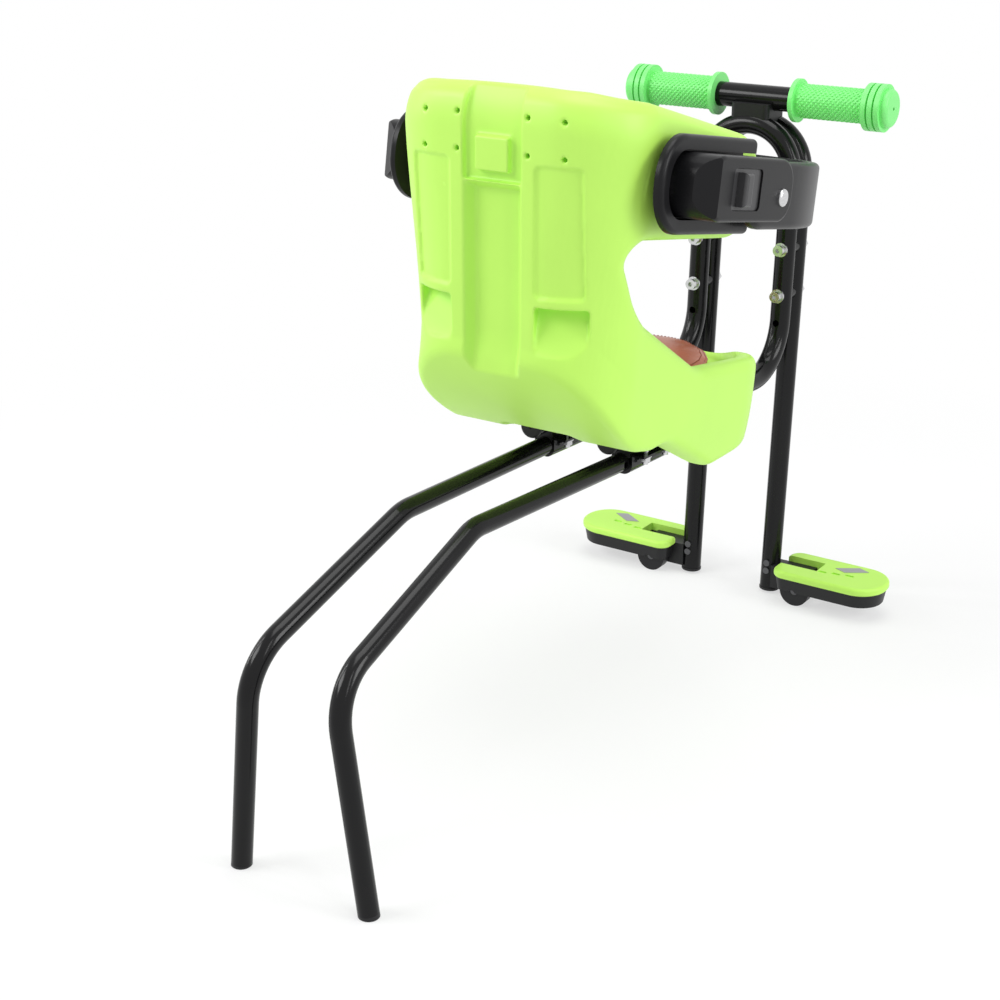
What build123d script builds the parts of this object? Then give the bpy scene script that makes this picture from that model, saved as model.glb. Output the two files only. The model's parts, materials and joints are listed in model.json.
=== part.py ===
"""Child's bicycle seat on a tube frame: bucket shell, swing-up guard, latches and folding pedals.

Millimetres. +X is the child's right, +Y the way the child faces, +Z up.
The seat stands on its rear legs and pedals, and the floor is Z = 0.
"""
import os
from math import cos, radians, sin, tan

from build123d import *

os.makedirs("parts", exist_ok=True)

# Clearances
running_gap = 0.05
slip_gap = 0.3
seat_gap = 0.1

# Hairpin frame tubes
hairpin_d = 19.0
tube_wall = 1.5
hairpin_half_spacing = 43.9
hairpin_lean = 2.4
hairpin_gap = 3.8
front_leg_y = 322.98
front_leg_end_z = 5.0
arch_center_z = 414.0
plug_depth = 14.0
plug_lip_h = 3.0
plug_lip_over = 0.4
plug_edge_r = 1.5
plug_dimple_r = 1.6
plug_dimple_depth = 1.0
leg_plug_depth = 40.0
plug_screw_r = 2.0
plug_screw_head_r = 3.2
plug_screw_head_h = 2.0
plug_screw_low_z = 24.0
plug_screw_pitch = 8.0
plug_screw_bite = 6.0

# Seat carriers, the lower part of the rear hairpin
carrier_run_z = 232.0
carrier_rise = 2.5
carrier_bend_r = 50.0
carrier_end_y = 9.98
carrier_end_half_spacing = 36.8

# Hairpin bolts
bolt_r = 3.0
bolt_hole_r = 3.2
bolt_head_r = 5.0
bolt_head_h = 6.0
bolt_socket_r = 2.4
bolt_socket_depth = 3.0
washer_r = 6.5
washer_h = 1.5
nut_flats = 10.0
nut_h = 5.0
bolt_stub = 2.5
lowest_bolt_z = 304.3
bolt_pitch = 43.3
bolts_per_side = 3
spare_hole_drop = 26.0
spacer_r = 7.0

# Rear legs
rear_leg_d = 16.0
rear_leg_drop = 22.3
rear_leg_bend_r = 45.0
rear_knee_y = -176.52
rear_ankle_y = -349.02
rear_ankle_z = 172.0
rear_ankle_half_spacing = 38.0
rear_foot_y = -346.02
rear_foot_half_spacing = 59.3
rear_leg_front_y = 115.98
rear_leg_hole_y = 25.98
foot_cap_h = 14.0
foot_cap_floor = 3.0
foot_cap_wall = 1.2

# Clamp between the carriers and the rear legs
clamp_rear_y = 30.98
clamp_length = 62.0
clamp_bolt_inset = 14.0
clamp_bolt_offset = 15.0
clamp_bolt_r = 2.5
clamp_hole_r = 2.7
clamp_flange_reach = 21.0
clamp_split = 1.0
channel_wall = 1.8
channel_corner_r = 8.0
saddle_block_half_w = 7.5
saddle_wrap = 3.0
bridge_flange_h = 5.0
bridge_ring_wall = 2.0
bridge_top_half_w = 15.0
seat_bolt_l = 22.0
clamp_head_r = 4.4
clamp_head_h = 4.0
clamp_washer_r = 5.0
clamp_nut_flats = 8.0
clamp_nut_h = 4.0

# Handlebar and grips
bar_d = 22.2
bar_lead = 8.0
bar_z = 481.0
bar_half_length = 126.0
saddle_w = 38.0
saddle_d = 36.0
saddle_h = 12.0
saddle_r = 5.0
saddle_shoulder = 4.0
grip_inner_x = 38.5
grip_end_x = 132.0
grip_r = 14.5
grip_flange_r = 19.5
grip_flange_w = 4.0
grip_ring_r = 21.0
grip_ring_w = 4.5
grip_ring_groove = 1.6
grip_rings = 3
grip_dome_r = 17.0
grip_dome_l = 5.0
grip_dome_edge_r = 4.0
grip_vent_r = 1.6

# Bucket shell
shell_wall = 22.0
shell_top_z = 541.0
shell_base_z = 204.0
shell_back_y = -105.02
shell_lip_y = 207.98
shell_half_w_keel = 80.0
shell_half_w_lobe = 88.5
shell_half_w_pan = 93.0
shell_half_w_arm = 100.0
shell_half_w_top = 105.0
shell_lobe_h = 30.0
shell_pan_z = 300.0
shell_arm_z = 420.0
shell_rear_corner_r = 60.0
shell_lip_corner_r = 70.0
shell_cavity_corner_r = 40.0
shell_overrun = 10.0
shell_floor_z = 272.0
floor_t = 10.0
top_flat = 20.0
top_r = 30.0
arm_tip_y = 128.98
arm_tip_top_z = 481.0
arm_tip_low_z = 399.0
arm_tip_r = 34.0
arm_root_y = -68.02
arm_root_z = 433.0
opening_r = 14.0
rim_mid_y = -46.02
rim_mid_z = 370.0
rim_mid_r = 60.0
rim_low_y = 61.98
rim_low_z = 303.0
rim_low_r = 50.0
lip_top_z = 286.0
lip_fall = 4.0
lip_run = 36.0
lip_upper_r = 33.0
lip_lower_r = 36.0
belly_rear_y = -22.02
belly_z = 252.0
belly_front_y = 17.98
belly_r = 40.0
keel_rear_y = 102.98
tail_z = 350.0
cavity_tail_y = -22.02
rim_r = 10.0
rim_face_up = 0.3
underside_half_w = 60.0
underside_rear_y = -3.02
notch_half_w_rear = 39.0
notch_top_z = 262.0
underside_draft = 6.0
underside_r = 10.0
back_groove_half_w = 25.5
back_groove_depth = 10.0
back_groove_low_z = 300.0
back_groove_step_z = 472.0
back_groove_step = 4.5
back_groove_draft = 30.0
back_boss_half_w = 14.7
back_boss_low_z = 480.0
back_boss_h = 25.0
panel_inner_x = 37.0
panel_w = 38.0
panel_low_z = 390.0
panel_h = 98.0
panel_depth = 2.5
panel_r = 5.0
pocket_inner_x = 38.0
pocket_w = 41.0
pocket_low_z = 348.0
pocket_h = 35.0
pocket_depth = 14.0
pocket_turn = 18.0
pin_mark_r = 2.2
pin_mark_depth = 9.5
pin_mark_inner_x = 31.0
pin_mark_pitch_x = 30.0
pin_mark_low_z = 494.0
pin_mark_pitch_z = 27.0

# Cushion and back pad
cushion_half_w = 66.0
cushion_half_l = 74.0
cushion_y = 109.98
cushion_h = 18.0
cushion_edge_r = 7.0
pad_half_w = 54.0
pad_half_h = 52.0
pad_z = 420.0
pad_t = 14.0
pad_edge_r = 4.0

# Latches, measured on a plane tilted with the arms, from the latch origin
latch_y = 82.98
latch_z = 448.0
latch_tilt = 10.0
latch_mid_w = 3.0
base_rear_u = -154.0
base_tip_u = -4.0
base_half_h = 36.5
base_rear_r = 34.0
base_tip_r = 5.0
base_rim = 11.0
base_flange_x = 115.0
neck_rear_u = -95.0
neck_tip_u = -10.0
neck_half_h = 16.0
neck_r = 14.0
base_edge_r = 4.0
base_root_x = 90.0
base_floor_x = 110.0
base_outer_x = 122.0
body_rear_u = -130.0
body_front_u = 8.0
body_half_h = 24.0
body_outer_x = 150.0
body_chamfer_l = 11.0
body_chamfer_x = 16.0
body_corner_r = 18.0
body_nose_r = 20.0
body_edge_r = 3.0
tongue_t = 11.0
tongue_rear_u = -42.0
window_rear_u = -98.0
window_l = 48.0
window_half_h = 15.5
window_r = 4.0
window_floor_x = 126.0
button_t = 12.5
button_recess = 1.5
ridge_h = 8.5
ridge_l = 12.0
ridge_inset = 9.0
ridge_half_h = 12.5
ridge_edge_r = 3.0
spring_t = 0.8
spring_half_w = 4.0
spring_half_l = 13.0
plate_t = 4.0
plate_u = -62.0
plate_half_w = 11.0
plate_half_h = 30.0
plate_rivet_pitch = 20.0
plate_rivet_r = 2.5
plate_rivet_head_r = 4.5
plate_rivet_head_h = 1.6

# Guard rail
pivot_u = -12.0
pivot_w = -2.0
pivot_r = 4.0
pivot_head_r = 7.0
pivot_head_h = 3.0
pivot_head_edge_r = 2.0
pivot_tail_r = 6.0
pivot_tail_h = 2.0
guard_half_h = 26.5
guard_t = 13.0
guard_outer_x = 137.5
guard_bend_u = 40.0
guard_reach = 168.0
guard_edge_r = 5.0

# Folding pedals
pedal_pivot_x = 80.0
pedal_pivot_z = 15.0
knuckle_r = 12.0
knuckle_half_w = 10.5
knuckle_low_z = 8.0
knuckle_top_z = 31.0
knuckle_reach = 9.0
knuckle_root = 5.0
stud_r = 4.0
stud_bite = 9.0
ear_r = 15.0
ear_w = 11.0
ear_gap = 0.5
pedal_pin_r = 3.5
pedal_setback = 2.5
pedal_inner_x = 58.0
pedal_outer_x = 167.0
pedal_half_w = 29.0
pedal_base_h = 13.0
pedal_base_taper = 10.0
pedal_base_wall = 6.0
pedal_base_inset = 2.0
pedal_deck_z = 29.0
pedal_deck_t = 3.0
pedal_cap_h = 8.0
pedal_cap_r = 3.0
pedal_tip_r = 28.0
pedal_heel_r = 12.0
notch_end_x = 97.5
insert_x = 126.0
insert_lead = 12.5
insert_half_l = 16.0
insert_half_w = 9.0
insert_flat = 4.0
insert_depth = 2.0
insert_proud = 0.4
dimple_r = 2.0
dimple_l = 9.0
dimple_depth = 1.5
dimple_x = 103.0
dimple_lead = -6.5
dimple_pitch_x = 13.0
dimple_pitch_y = 2.5
dimples = 3


def hairpin_point(x, up, back):
    """Point of the hairpin planes: sideways, along the legs, and back from the front hairpin."""
    y = front_leg_y + up * sin(radians(hairpin_lean)) - back * cos(radians(hairpin_lean))
    z = up * cos(radians(hairpin_lean)) + back * sin(radians(hairpin_lean))
    return (x, y, z)


hairpin_normal = (0, -cos(radians(hairpin_lean)), sin(radians(hairpin_lean)))
hairpin_up = (0, sin(radians(hairpin_lean)), cos(radians(hairpin_lean)))
hairpin_pitch = hairpin_d + hairpin_gap
hairpin_r = hairpin_d / 2
rear_leg_r = rear_leg_d / 2
bar_r = bar_d / 2
bar_y = front_leg_y + bar_lead


def stud_point(side):
    """Centre of a front leg at the height of the pedal stud."""
    return hairpin_point(side * hairpin_half_spacing, pedal_pivot_z, 0)


def hairpin_plane(back):
    return Plane(origin=hairpin_point(0, 0, back), x_dir=(1, 0, 0), z_dir=hairpin_normal)


# The carriers run back from the rear hairpin, rising a little and closing in
corner_y = front_leg_y - hairpin_pitch + carrier_run_z * tan(radians(hairpin_lean))
carrier_corner = (hairpin_half_spacing, corner_y, carrier_run_z)
carrier_length_y = corner_y - carrier_end_y
carrier_toe = (hairpin_half_spacing - carrier_end_half_spacing) / carrier_length_y
carrier_slope = tan(radians(carrier_rise))


def carrier_point(y, drop=0.0):
    """Point under the right carrier's axis at this Y."""
    back = corner_y - y
    return (hairpin_half_spacing - carrier_toe * back, y, carrier_run_z + carrier_slope * back - drop)


carrier_dir = Vector(carrier_toe, 1, -carrier_slope).normalized()

# Front leg hairpin
with BuildPart() as leg_hairpin:
    with BuildLine(hairpin_plane(0)) as leg_path:
        Line((hairpin_half_spacing, front_leg_end_z), (hairpin_half_spacing, arch_center_z))
        CenterArc((0, arch_center_z), hairpin_half_spacing, 0, 180)
        Line((-hairpin_half_spacing, arch_center_z), (-hairpin_half_spacing, front_leg_end_z))
    with BuildSketch(Plane(origin=leg_path.wire() @ 0, z_dir=leg_path.wire() % 0)):
        Circle(hairpin_r)
        Circle(hairpin_r - tube_wall, mode=Mode.SUBTRACT)
    sweep(path=leg_path.wire())
    with BuildSketch(hairpin_plane(0)):
        for side in (-1, 1):
            for i in range(bolts_per_side):
                with Locations((side * hairpin_half_spacing, lowest_bolt_z + i * bolt_pitch)):
                    Circle(bolt_hole_r)
            with Locations((side * hairpin_half_spacing, lowest_bolt_z - spare_hole_drop)):
                Circle(bolt_hole_r)
    extrude(amount=hairpin_d, both=True, mode=Mode.SUBTRACT)
    for side in (-1, 1):
        with BuildSketch(Plane(origin=stud_point(side), z_dir=(side, 0, 0))):
            Circle(stud_r + seat_gap)
        extrude(amount=hairpin_d, mode=Mode.SUBTRACT)
        with BuildSketch(hairpin_plane(0)):
            for i in range(2):
                with Locations((side * hairpin_half_spacing, plug_screw_low_z + i * plug_screw_pitch)):
                    Circle(plug_screw_r + seat_gap)
        extrude(amount=hairpin_d, mode=Mode.SUBTRACT)
leg_hairpin.part.label = "leg_hairpin"
export_step(leg_hairpin.part, "parts/leg_hairpin.step")

# Seat carrier hairpin
with BuildPart() as carrier_hairpin:
    arch_right = hairpin_point(hairpin_half_spacing, arch_center_z, hairpin_pitch)
    arch_top = hairpin_point(0, arch_center_z + hairpin_half_spacing, hairpin_pitch)
    arch_left = hairpin_point(-hairpin_half_spacing, arch_center_z, hairpin_pitch)
    end_right = carrier_point(carrier_end_y)
    with BuildLine() as carrier_path:
        FilletPolyline(end_right, carrier_corner, arch_right, radius=carrier_bend_r)
        ThreePointArc(arch_right, arch_top, arch_left)
        FilletPolyline(
            arch_left,
            (-carrier_corner[0], carrier_corner[1], carrier_corner[2]),
            (-end_right[0], end_right[1], end_right[2]),
            radius=carrier_bend_r,
        )
    with BuildSketch(Plane(origin=carrier_path.wire() @ 0, z_dir=carrier_path.wire() % 0)):
        Circle(hairpin_r)
        Circle(hairpin_r - tube_wall, mode=Mode.SUBTRACT)
    sweep(path=carrier_path.wire())
    with BuildSketch(hairpin_plane(hairpin_pitch)):
        for side in (-1, 1):
            for i in range(bolts_per_side):
                with Locations((side * hairpin_half_spacing, lowest_bolt_z + i * bolt_pitch)):
                    Circle(bolt_hole_r)
            with Locations((side * hairpin_half_spacing, lowest_bolt_z - spare_hole_drop)):
                Circle(bolt_hole_r)
    extrude(amount=hairpin_d, both=True, mode=Mode.SUBTRACT)
carrier_hairpin.part.label = "carrier_hairpin"
export_step(carrier_hairpin.part, "parts/carrier_hairpin.step")

# Plugs in the front leg ends, drilled for the pedal studs
with BuildPart() as leg_end_plugs:
    leg_end = hairpin_point(hairpin_half_spacing, front_leg_end_z, 0)
    with BuildSketch(Plane(origin=leg_end, x_dir=(1, 0, 0), z_dir=hairpin_up)):
        Circle(hairpin_r - tube_wall - seat_gap)
    extrude(amount=leg_plug_depth)
    with BuildSketch(Plane(origin=leg_end, x_dir=(1, 0, 0), z_dir=hairpin_up)):
        Circle(hairpin_r + plug_lip_over)
    extrude(amount=-plug_lip_h)
    fillet(leg_end_plugs.faces().sort_by(Axis.Z)[0].edges(), plug_edge_r)
    with BuildSketch(Plane(origin=stud_point(1), z_dir=(1, 0, 0))):
        Circle(stud_r + seat_gap)
    extrude(amount=hairpin_d, mode=Mode.SUBTRACT)
    with BuildSketch(hairpin_plane(0)):
        for i in range(2):
            with Locations((hairpin_half_spacing, plug_screw_low_z + i * plug_screw_pitch)):
                Circle(plug_screw_r + seat_gap)
    extrude(amount=hairpin_d, mode=Mode.SUBTRACT)
    mirror(about=Plane.YZ)
leg_end_plugs.part.label = "leg_end_plugs"
export_step(leg_end_plugs.part, "parts/leg_end_plugs.step")

# Screws that hold those plugs, from behind
with BuildPart() as plug_screws:
    with BuildSketch(hairpin_plane(hairpin_r)):
        for i in range(2):
            with Locations((hairpin_half_spacing, plug_screw_low_z + i * plug_screw_pitch)):
                Circle(plug_screw_r)
    extrude(amount=-plug_screw_bite)
    with BuildSketch(hairpin_plane(hairpin_r)):
        for i in range(2):
            with Locations((hairpin_half_spacing, plug_screw_low_z + i * plug_screw_pitch)):
                Circle(plug_screw_head_r)
    extrude(amount=plug_screw_head_h)
    mirror(about=Plane.YZ)
plug_screws.part.label = "plug_screws"
export_step(plug_screws.part, "parts/plug_screws.step")

# Plugs in the rear ends of the carriers
with BuildPart() as carrier_end_plugs:
    carrier_end_plane = Plane(origin=carrier_point(carrier_end_y), x_dir=(1, 0, 0), z_dir=-carrier_dir)
    with BuildSketch(carrier_end_plane):
        Circle(hairpin_r - tube_wall - seat_gap)
    extrude(amount=-plug_depth)
    with BuildSketch(carrier_end_plane):
        Circle(hairpin_r + plug_lip_over)
    extrude(amount=plug_lip_h)
    fillet(carrier_end_plugs.faces().sort_by(Axis.Y)[0].edges(), plug_edge_r)
    with BuildSketch(carrier_end_plane.offset(plug_lip_h)):
        Circle(plug_dimple_r)
    extrude(amount=-plug_dimple_depth, mode=Mode.SUBTRACT)
    mirror(about=Plane.YZ)
carrier_end_plugs.part.label = "carrier_end_plugs"
export_step(carrier_end_plugs.part, "parts/carrier_end_plugs.step")

# Bolts through both hairpins, heads to the rear
bolt_places = [
    (side * hairpin_half_spacing, lowest_bolt_z + i * bolt_pitch)
    for side in (-1, 1)
    for i in range(bolts_per_side)
]
rear_seat = hairpin_pitch + hairpin_r
front_seat = -hairpin_r

with BuildPart() as hairpin_screws:
    with BuildSketch(hairpin_plane(rear_seat + washer_h)):
        with Locations(bolt_places):
            Circle(bolt_r)
    extrude(amount=-(rear_seat + washer_h - front_seat + nut_h + bolt_stub))
    with BuildSketch(hairpin_plane(rear_seat + washer_h)):
        with Locations(bolt_places):
            Circle(bolt_head_r)
    extrude(amount=bolt_head_h)
    with BuildSketch(hairpin_plane(rear_seat + washer_h + bolt_head_h)):
        with Locations(bolt_places):
            RegularPolygon(bolt_socket_r, 6)
    extrude(amount=-bolt_socket_depth, mode=Mode.SUBTRACT)
hairpin_screws.part.label = "hairpin_screws"
export_step(hairpin_screws.part, "parts/hairpin_screws.step")

with BuildPart() as hairpin_washers:
    with BuildSketch(hairpin_plane(rear_seat)):
        with Locations(bolt_places):
            Circle(washer_r)
            Circle(bolt_r + seat_gap, mode=Mode.SUBTRACT)
    extrude(amount=washer_h)
hairpin_washers.part.label = "hairpin_washers"
export_step(hairpin_washers.part, "parts/hairpin_washers.step")

with BuildPart() as hairpin_nuts:
    with BuildSketch(hairpin_plane(front_seat)):
        with Locations(bolt_places):
            RegularPolygon(nut_flats / 2, 6, major_radius=False)
            Circle(bolt_r + seat_gap, mode=Mode.SUBTRACT)
    extrude(amount=-nut_h)
hairpin_nuts.part.label = "hairpin_nuts"
export_step(hairpin_nuts.part, "parts/hairpin_nuts.step")

# Saddle-ended spacers between the two hairpins
with BuildPart() as hairpin_spacers:
    with BuildSketch(hairpin_plane(0)):
        with Locations(bolt_places):
            Circle(spacer_r)
            Circle(bolt_hole_r, mode=Mode.SUBTRACT)
    extrude(amount=hairpin_pitch)
    for back in (0, hairpin_pitch):
        for side in (-1, 1):
            tube_foot = hairpin_point(side * hairpin_half_spacing, 0, back)
            with BuildSketch(Plane(origin=tube_foot, x_dir=(1, 0, 0), z_dir=hairpin_up)):
                Circle(hairpin_r + seat_gap)
            extrude(amount=arch_center_z, mode=Mode.SUBTRACT)
hairpin_spacers.part.label = "hairpin_spacers"
export_step(hairpin_spacers.part, "parts/hairpin_spacers.step")

# Rear legs and their foot caps
rear_foot = Vector(rear_foot_half_spacing, rear_foot_y, 0)
rear_ankle = Vector(rear_ankle_half_spacing, rear_ankle_y, rear_ankle_z)
shin_dir = (rear_ankle - rear_foot).normalized()

with BuildPart() as rear_leg_right:
    with BuildLine() as rear_path:
        FilletPolyline(
            rear_foot + shin_dir * foot_cap_floor,
            rear_ankle,
            carrier_point(rear_knee_y, rear_leg_drop),
            carrier_point(rear_leg_front_y, rear_leg_drop),
            radius=rear_leg_bend_r,
        )
    with BuildSketch(Plane(origin=rear_path.wire() @ 0, z_dir=rear_path.wire() % 0)):
        Circle(rear_leg_r)
        Circle(rear_leg_r - tube_wall, mode=Mode.SUBTRACT)
    sweep(path=rear_path.wire())
    with BuildSketch(Plane(origin=carrier_point(rear_leg_hole_y, rear_leg_drop), z_dir=(1, 0, 0))):
        Circle(bolt_hole_r)
    extrude(amount=rear_leg_d, mode=Mode.SUBTRACT)
rear_leg_right.part.label = "rear_leg_right"
export_step(rear_leg_right.part, "parts/rear_leg_right.step")

with BuildPart() as rear_leg_left:
    mirror(rear_leg_right.part, about=Plane.YZ)
rear_leg_left.part.label = "rear_leg_left"
export_step(rear_leg_left.part, "parts/rear_leg_left.step")

with BuildPart() as rear_leg_caps:
    with BuildSketch(Plane(origin=rear_foot - shin_dir * foot_cap_floor, z_dir=shin_dir)):
        Circle(rear_leg_r + seat_gap + foot_cap_wall)
    extrude(amount=foot_cap_h)
    with BuildSketch(Plane(origin=rear_foot + shin_dir * foot_cap_floor, z_dir=shin_dir)):
        Circle(rear_leg_r + seat_gap)
    extrude(amount=foot_cap_h, mode=Mode.SUBTRACT)
    split(bisect_by=Plane.XY, keep=Keep.TOP)
    mirror(about=Plane.YZ)
rear_leg_caps.part.label = "rear_leg_caps"
export_step(rear_leg_caps.part, "parts/rear_leg_caps.step")

# Handlebar tube across the two arches
with BuildPart() as handlebar_tube:
    with BuildSketch(Plane(origin=(0, bar_y, bar_z), z_dir=(1, 0, 0))):
        Circle(bar_r)
        Circle(bar_r - tube_wall, mode=Mode.SUBTRACT)
    extrude(amount=bar_half_length, both=True)
handlebar_tube.part.label = "handlebar_tube"
export_step(handlebar_tube.part, "parts/handlebar_tube.step")

# Saddle that seats the bar in the valley between the arches
with BuildPart() as handlebar_saddle:
    with BuildSketch(Plane.XY.offset(bar_z)) as saddle_plan:
        with Locations((0, bar_y)):
            Rectangle(saddle_w, saddle_d)
        fillet(saddle_plan.vertices(), saddle_r)
    extrude(amount=-(saddle_h + bar_r))
    with BuildSketch(Plane(origin=(0, bar_y, bar_z), z_dir=(1, 0, 0))):
        Circle(bar_r + seat_gap)
    extrude(amount=saddle_w, both=True, mode=Mode.SUBTRACT)
    with BuildSketch(Plane.XY.offset(bar_z)):
        with Locations((0, bar_y)):
            Rectangle(2 * saddle_w, 2 * saddle_d)
    extrude(amount=-saddle_shoulder, mode=Mode.SUBTRACT)
    for back in (0, hairpin_pitch):
        arch_plane = Plane(
            origin=hairpin_point(0, arch_center_z, back), x_dir=(1, 0, 0), z_dir=hairpin_normal
        )
        with Locations(arch_plane):
            Torus(hairpin_half_spacing, hairpin_r + seat_gap, mode=Mode.SUBTRACT)
handlebar_saddle.part.label = "handlebar_saddle"
export_step(handlebar_saddle.part, "parts/handlebar_saddle.step")

# Grips: flanged sleeve, ringed outer end, closed dome with a vent
with BuildPart() as grip_right:
    with BuildSketch(Plane(origin=(0, bar_y, bar_z), x_dir=(1, 0, 0), z_dir=(0, -1, 0))):
        with Locations((grip_inner_x, 0)):
            Rectangle(grip_end_x - grip_inner_x, grip_r, align=(Align.MIN, Align.MIN))
            Rectangle(grip_flange_w, grip_flange_r, align=(Align.MIN, Align.MIN))
        for i in range(grip_rings):
            ring_x = grip_end_x - grip_dome_l - (i + 1) * (grip_ring_w + grip_ring_groove)
            with Locations((ring_x, 0)):
                Rectangle(grip_ring_w, grip_ring_r, align=(Align.MIN, Align.MIN))
                Rectangle(grip_ring_w + grip_ring_groove, grip_dome_r, align=(Align.MIN, Align.MIN))
        with Locations((grip_end_x, 0)):
            Rectangle(grip_dome_l, grip_dome_r, align=(Align.MAX, Align.MIN))
        Rectangle(
            bar_half_length + seat_gap,
            bar_r + seat_gap,
            align=(Align.MIN, Align.MIN),
            mode=Mode.SUBTRACT,
        )
        Rectangle(grip_end_x, grip_vent_r, align=(Align.MIN, Align.MIN), mode=Mode.SUBTRACT)
    revolve(axis=Axis((0, bar_y, bar_z), (1, 0, 0)))
    fillet(grip_right.faces().sort_by(Axis.X)[-1].outer_wire().edges(), grip_dome_edge_r)
grip_right.part.label = "grip_right"
export_step(grip_right.part, "parts/grip_right.step")

with BuildPart() as grip_left:
    mirror(grip_right.part, about=Plane.YZ)
grip_left.part.label = "grip_left"
export_step(grip_left.part, "parts/grip_left.step")

# Clamp that ties the shell, the carriers and the rear legs together
clamp_mid_y = clamp_rear_y + clamp_length / 2
clamp_x = carrier_point(clamp_mid_y)[0]
clamp_run = (0, cos(radians(carrier_rise)), -sin(radians(carrier_rise)))
clamp_bolt_along = (clamp_bolt_inset, clamp_length - clamp_bolt_inset)


def clamp_plane(x, drop=0.0):
    """Section plane at the rear of the clamp, its local Y pointing up."""
    start = carrier_point(clamp_rear_y, drop)
    return Plane(origin=(x, start[1], start[2]), x_dir=(-1, 0, 0), z_dir=clamp_run)


def clamp_deck(x, up):
    """Plane along the clamp, raised from the carrier axis, for bolts and holes."""
    start = clamp_plane(x).from_local_coords((0, up, 0))
    return Plane(origin=start, x_dir=(1, 0, 0), z_dir=clamp_plane(x).y_dir)


clamp_bolt_places = [
    (x_side * clamp_x + edge * clamp_bolt_offset, along)
    for x_side in (-1, 1)
    for edge in (-1, 1)
    for along in clamp_bolt_along
]
seat_bolt_places = [(0, along) for along in clamp_bolt_along]
bridge_flange_top = clamp_split + bridge_flange_h
channel_flange_low = -rear_leg_drop + rear_leg_r - channel_wall
bridge_top = shell_floor_z - floor_t

with BuildPart() as seat_bridge:
    with BuildSketch(clamp_plane(0)):
        with Locations((0, clamp_split)):
            Rectangle(2 * (clamp_x + clamp_flange_reach), bridge_flange_h, align=(Align.CENTER, Align.MIN))
        for x_side in (-1, 1):
            with Locations((x_side * clamp_x, 0)):
                Circle(hairpin_r + bridge_ring_wall)
        Rectangle(2 * bridge_top_half_w, 2 * hairpin_d, align=(Align.CENTER, Align.MIN))
        with Locations((0, clamp_split)):
            Rectangle(4 * clamp_x, 4 * hairpin_d, align=(Align.CENTER, Align.MAX), mode=Mode.SUBTRACT)
    extrude(amount=clamp_length)
    with BuildSketch(Plane.XY.offset(bridge_top)):
        with Locations((0, clamp_mid_y)):
            Rectangle(4 * clamp_x, 4 * clamp_length)
    extrude(amount=3 * hairpin_d, mode=Mode.SUBTRACT)
    for x_side in (-1, 1):
        start = carrier_point(carrier_end_y)
        run = Vector(x_side * carrier_dir.X, carrier_dir.Y, carrier_dir.Z)
        with BuildSketch(Plane(origin=(x_side * start[0], start[1], start[2]), z_dir=run)):
            Circle(hairpin_r + seat_gap)
        extrude(amount=carrier_length_y, mode=Mode.SUBTRACT)
    with BuildSketch(clamp_deck(0, -hairpin_d)):
        with Locations(clamp_bolt_places):
            Circle(clamp_hole_r)
        with Locations(seat_bolt_places):
            Circle(bolt_hole_r)
    extrude(amount=4 * hairpin_d, mode=Mode.SUBTRACT)
seat_bridge.part.label = "seat_bridge"
export_step(seat_bridge.part, "parts/seat_bridge.step")

# Saddle block between a carrier and its rear leg
with BuildPart() as tube_saddle_right:
    with BuildSketch(clamp_plane(clamp_x)):
        with Locations((0, saddle_wrap - hairpin_r)):
            Rectangle(
                2 * saddle_block_half_w,
                rear_leg_drop - hairpin_r - rear_leg_r + 2 * saddle_wrap,
                align=(Align.CENTER, Align.MAX),
            )
    extrude(amount=clamp_length)
    for radius, drop in ((hairpin_r, 0), (rear_leg_r, rear_leg_drop)):
        with BuildSketch(Plane(origin=carrier_point(carrier_end_y, drop), z_dir=carrier_dir)):
            Circle(radius + seat_gap)
        extrude(amount=carrier_length_y, mode=Mode.SUBTRACT)
tube_saddle_right.part.label = "tube_saddle_right"
export_step(tube_saddle_right.part, "parts/tube_saddle_right.step")

with BuildPart() as tube_saddle_left:
    mirror(tube_saddle_right.part, about=Plane.YZ)
tube_saddle_left.part.label = "tube_saddle_left"
export_step(tube_saddle_left.part, "parts/tube_saddle_left.step")

# Channel that holds a rear leg up against its saddle block
with BuildPart() as leg_channel_right:
    with BuildSketch(clamp_plane(clamp_x, rear_leg_drop)) as channel_section:
        with Locations((0, rear_leg_r)):
            Rectangle(
                2 * (rear_leg_r + channel_wall), rear_leg_d + channel_wall, align=(Align.CENTER, Align.MAX)
            )
        fillet(channel_section.vertices().group_by(Axis.Y)[0], channel_corner_r)
        with Locations((0, rear_leg_r)):
            Rectangle(2 * clamp_flange_reach, channel_wall, align=(Align.CENTER, Align.MAX))
        Rectangle(
            2 * (rear_leg_r + slip_gap),
            rear_leg_d,
            align=(Align.CENTER, Align.MIN),
            mode=Mode.SUBTRACT,
        )
    extrude(amount=clamp_length)
    with BuildSketch(Plane(origin=carrier_point(carrier_end_y, rear_leg_drop), z_dir=carrier_dir)):
        Circle(rear_leg_r + seat_gap)
    extrude(amount=carrier_length_y, mode=Mode.SUBTRACT)
    with BuildSketch(clamp_deck(0, -2 * rear_leg_drop)):
        with Locations(clamp_bolt_places):
            Circle(clamp_hole_r)
    extrude(amount=2 * rear_leg_drop, mode=Mode.SUBTRACT)
leg_channel_right.part.label = "leg_channel_right"
export_step(leg_channel_right.part, "parts/leg_channel_right.step")

with BuildPart() as leg_channel_left:
    mirror(leg_channel_right.part, about=Plane.YZ)
leg_channel_left.part.label = "leg_channel_left"
export_step(leg_channel_left.part, "parts/leg_channel_left.step")

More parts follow.
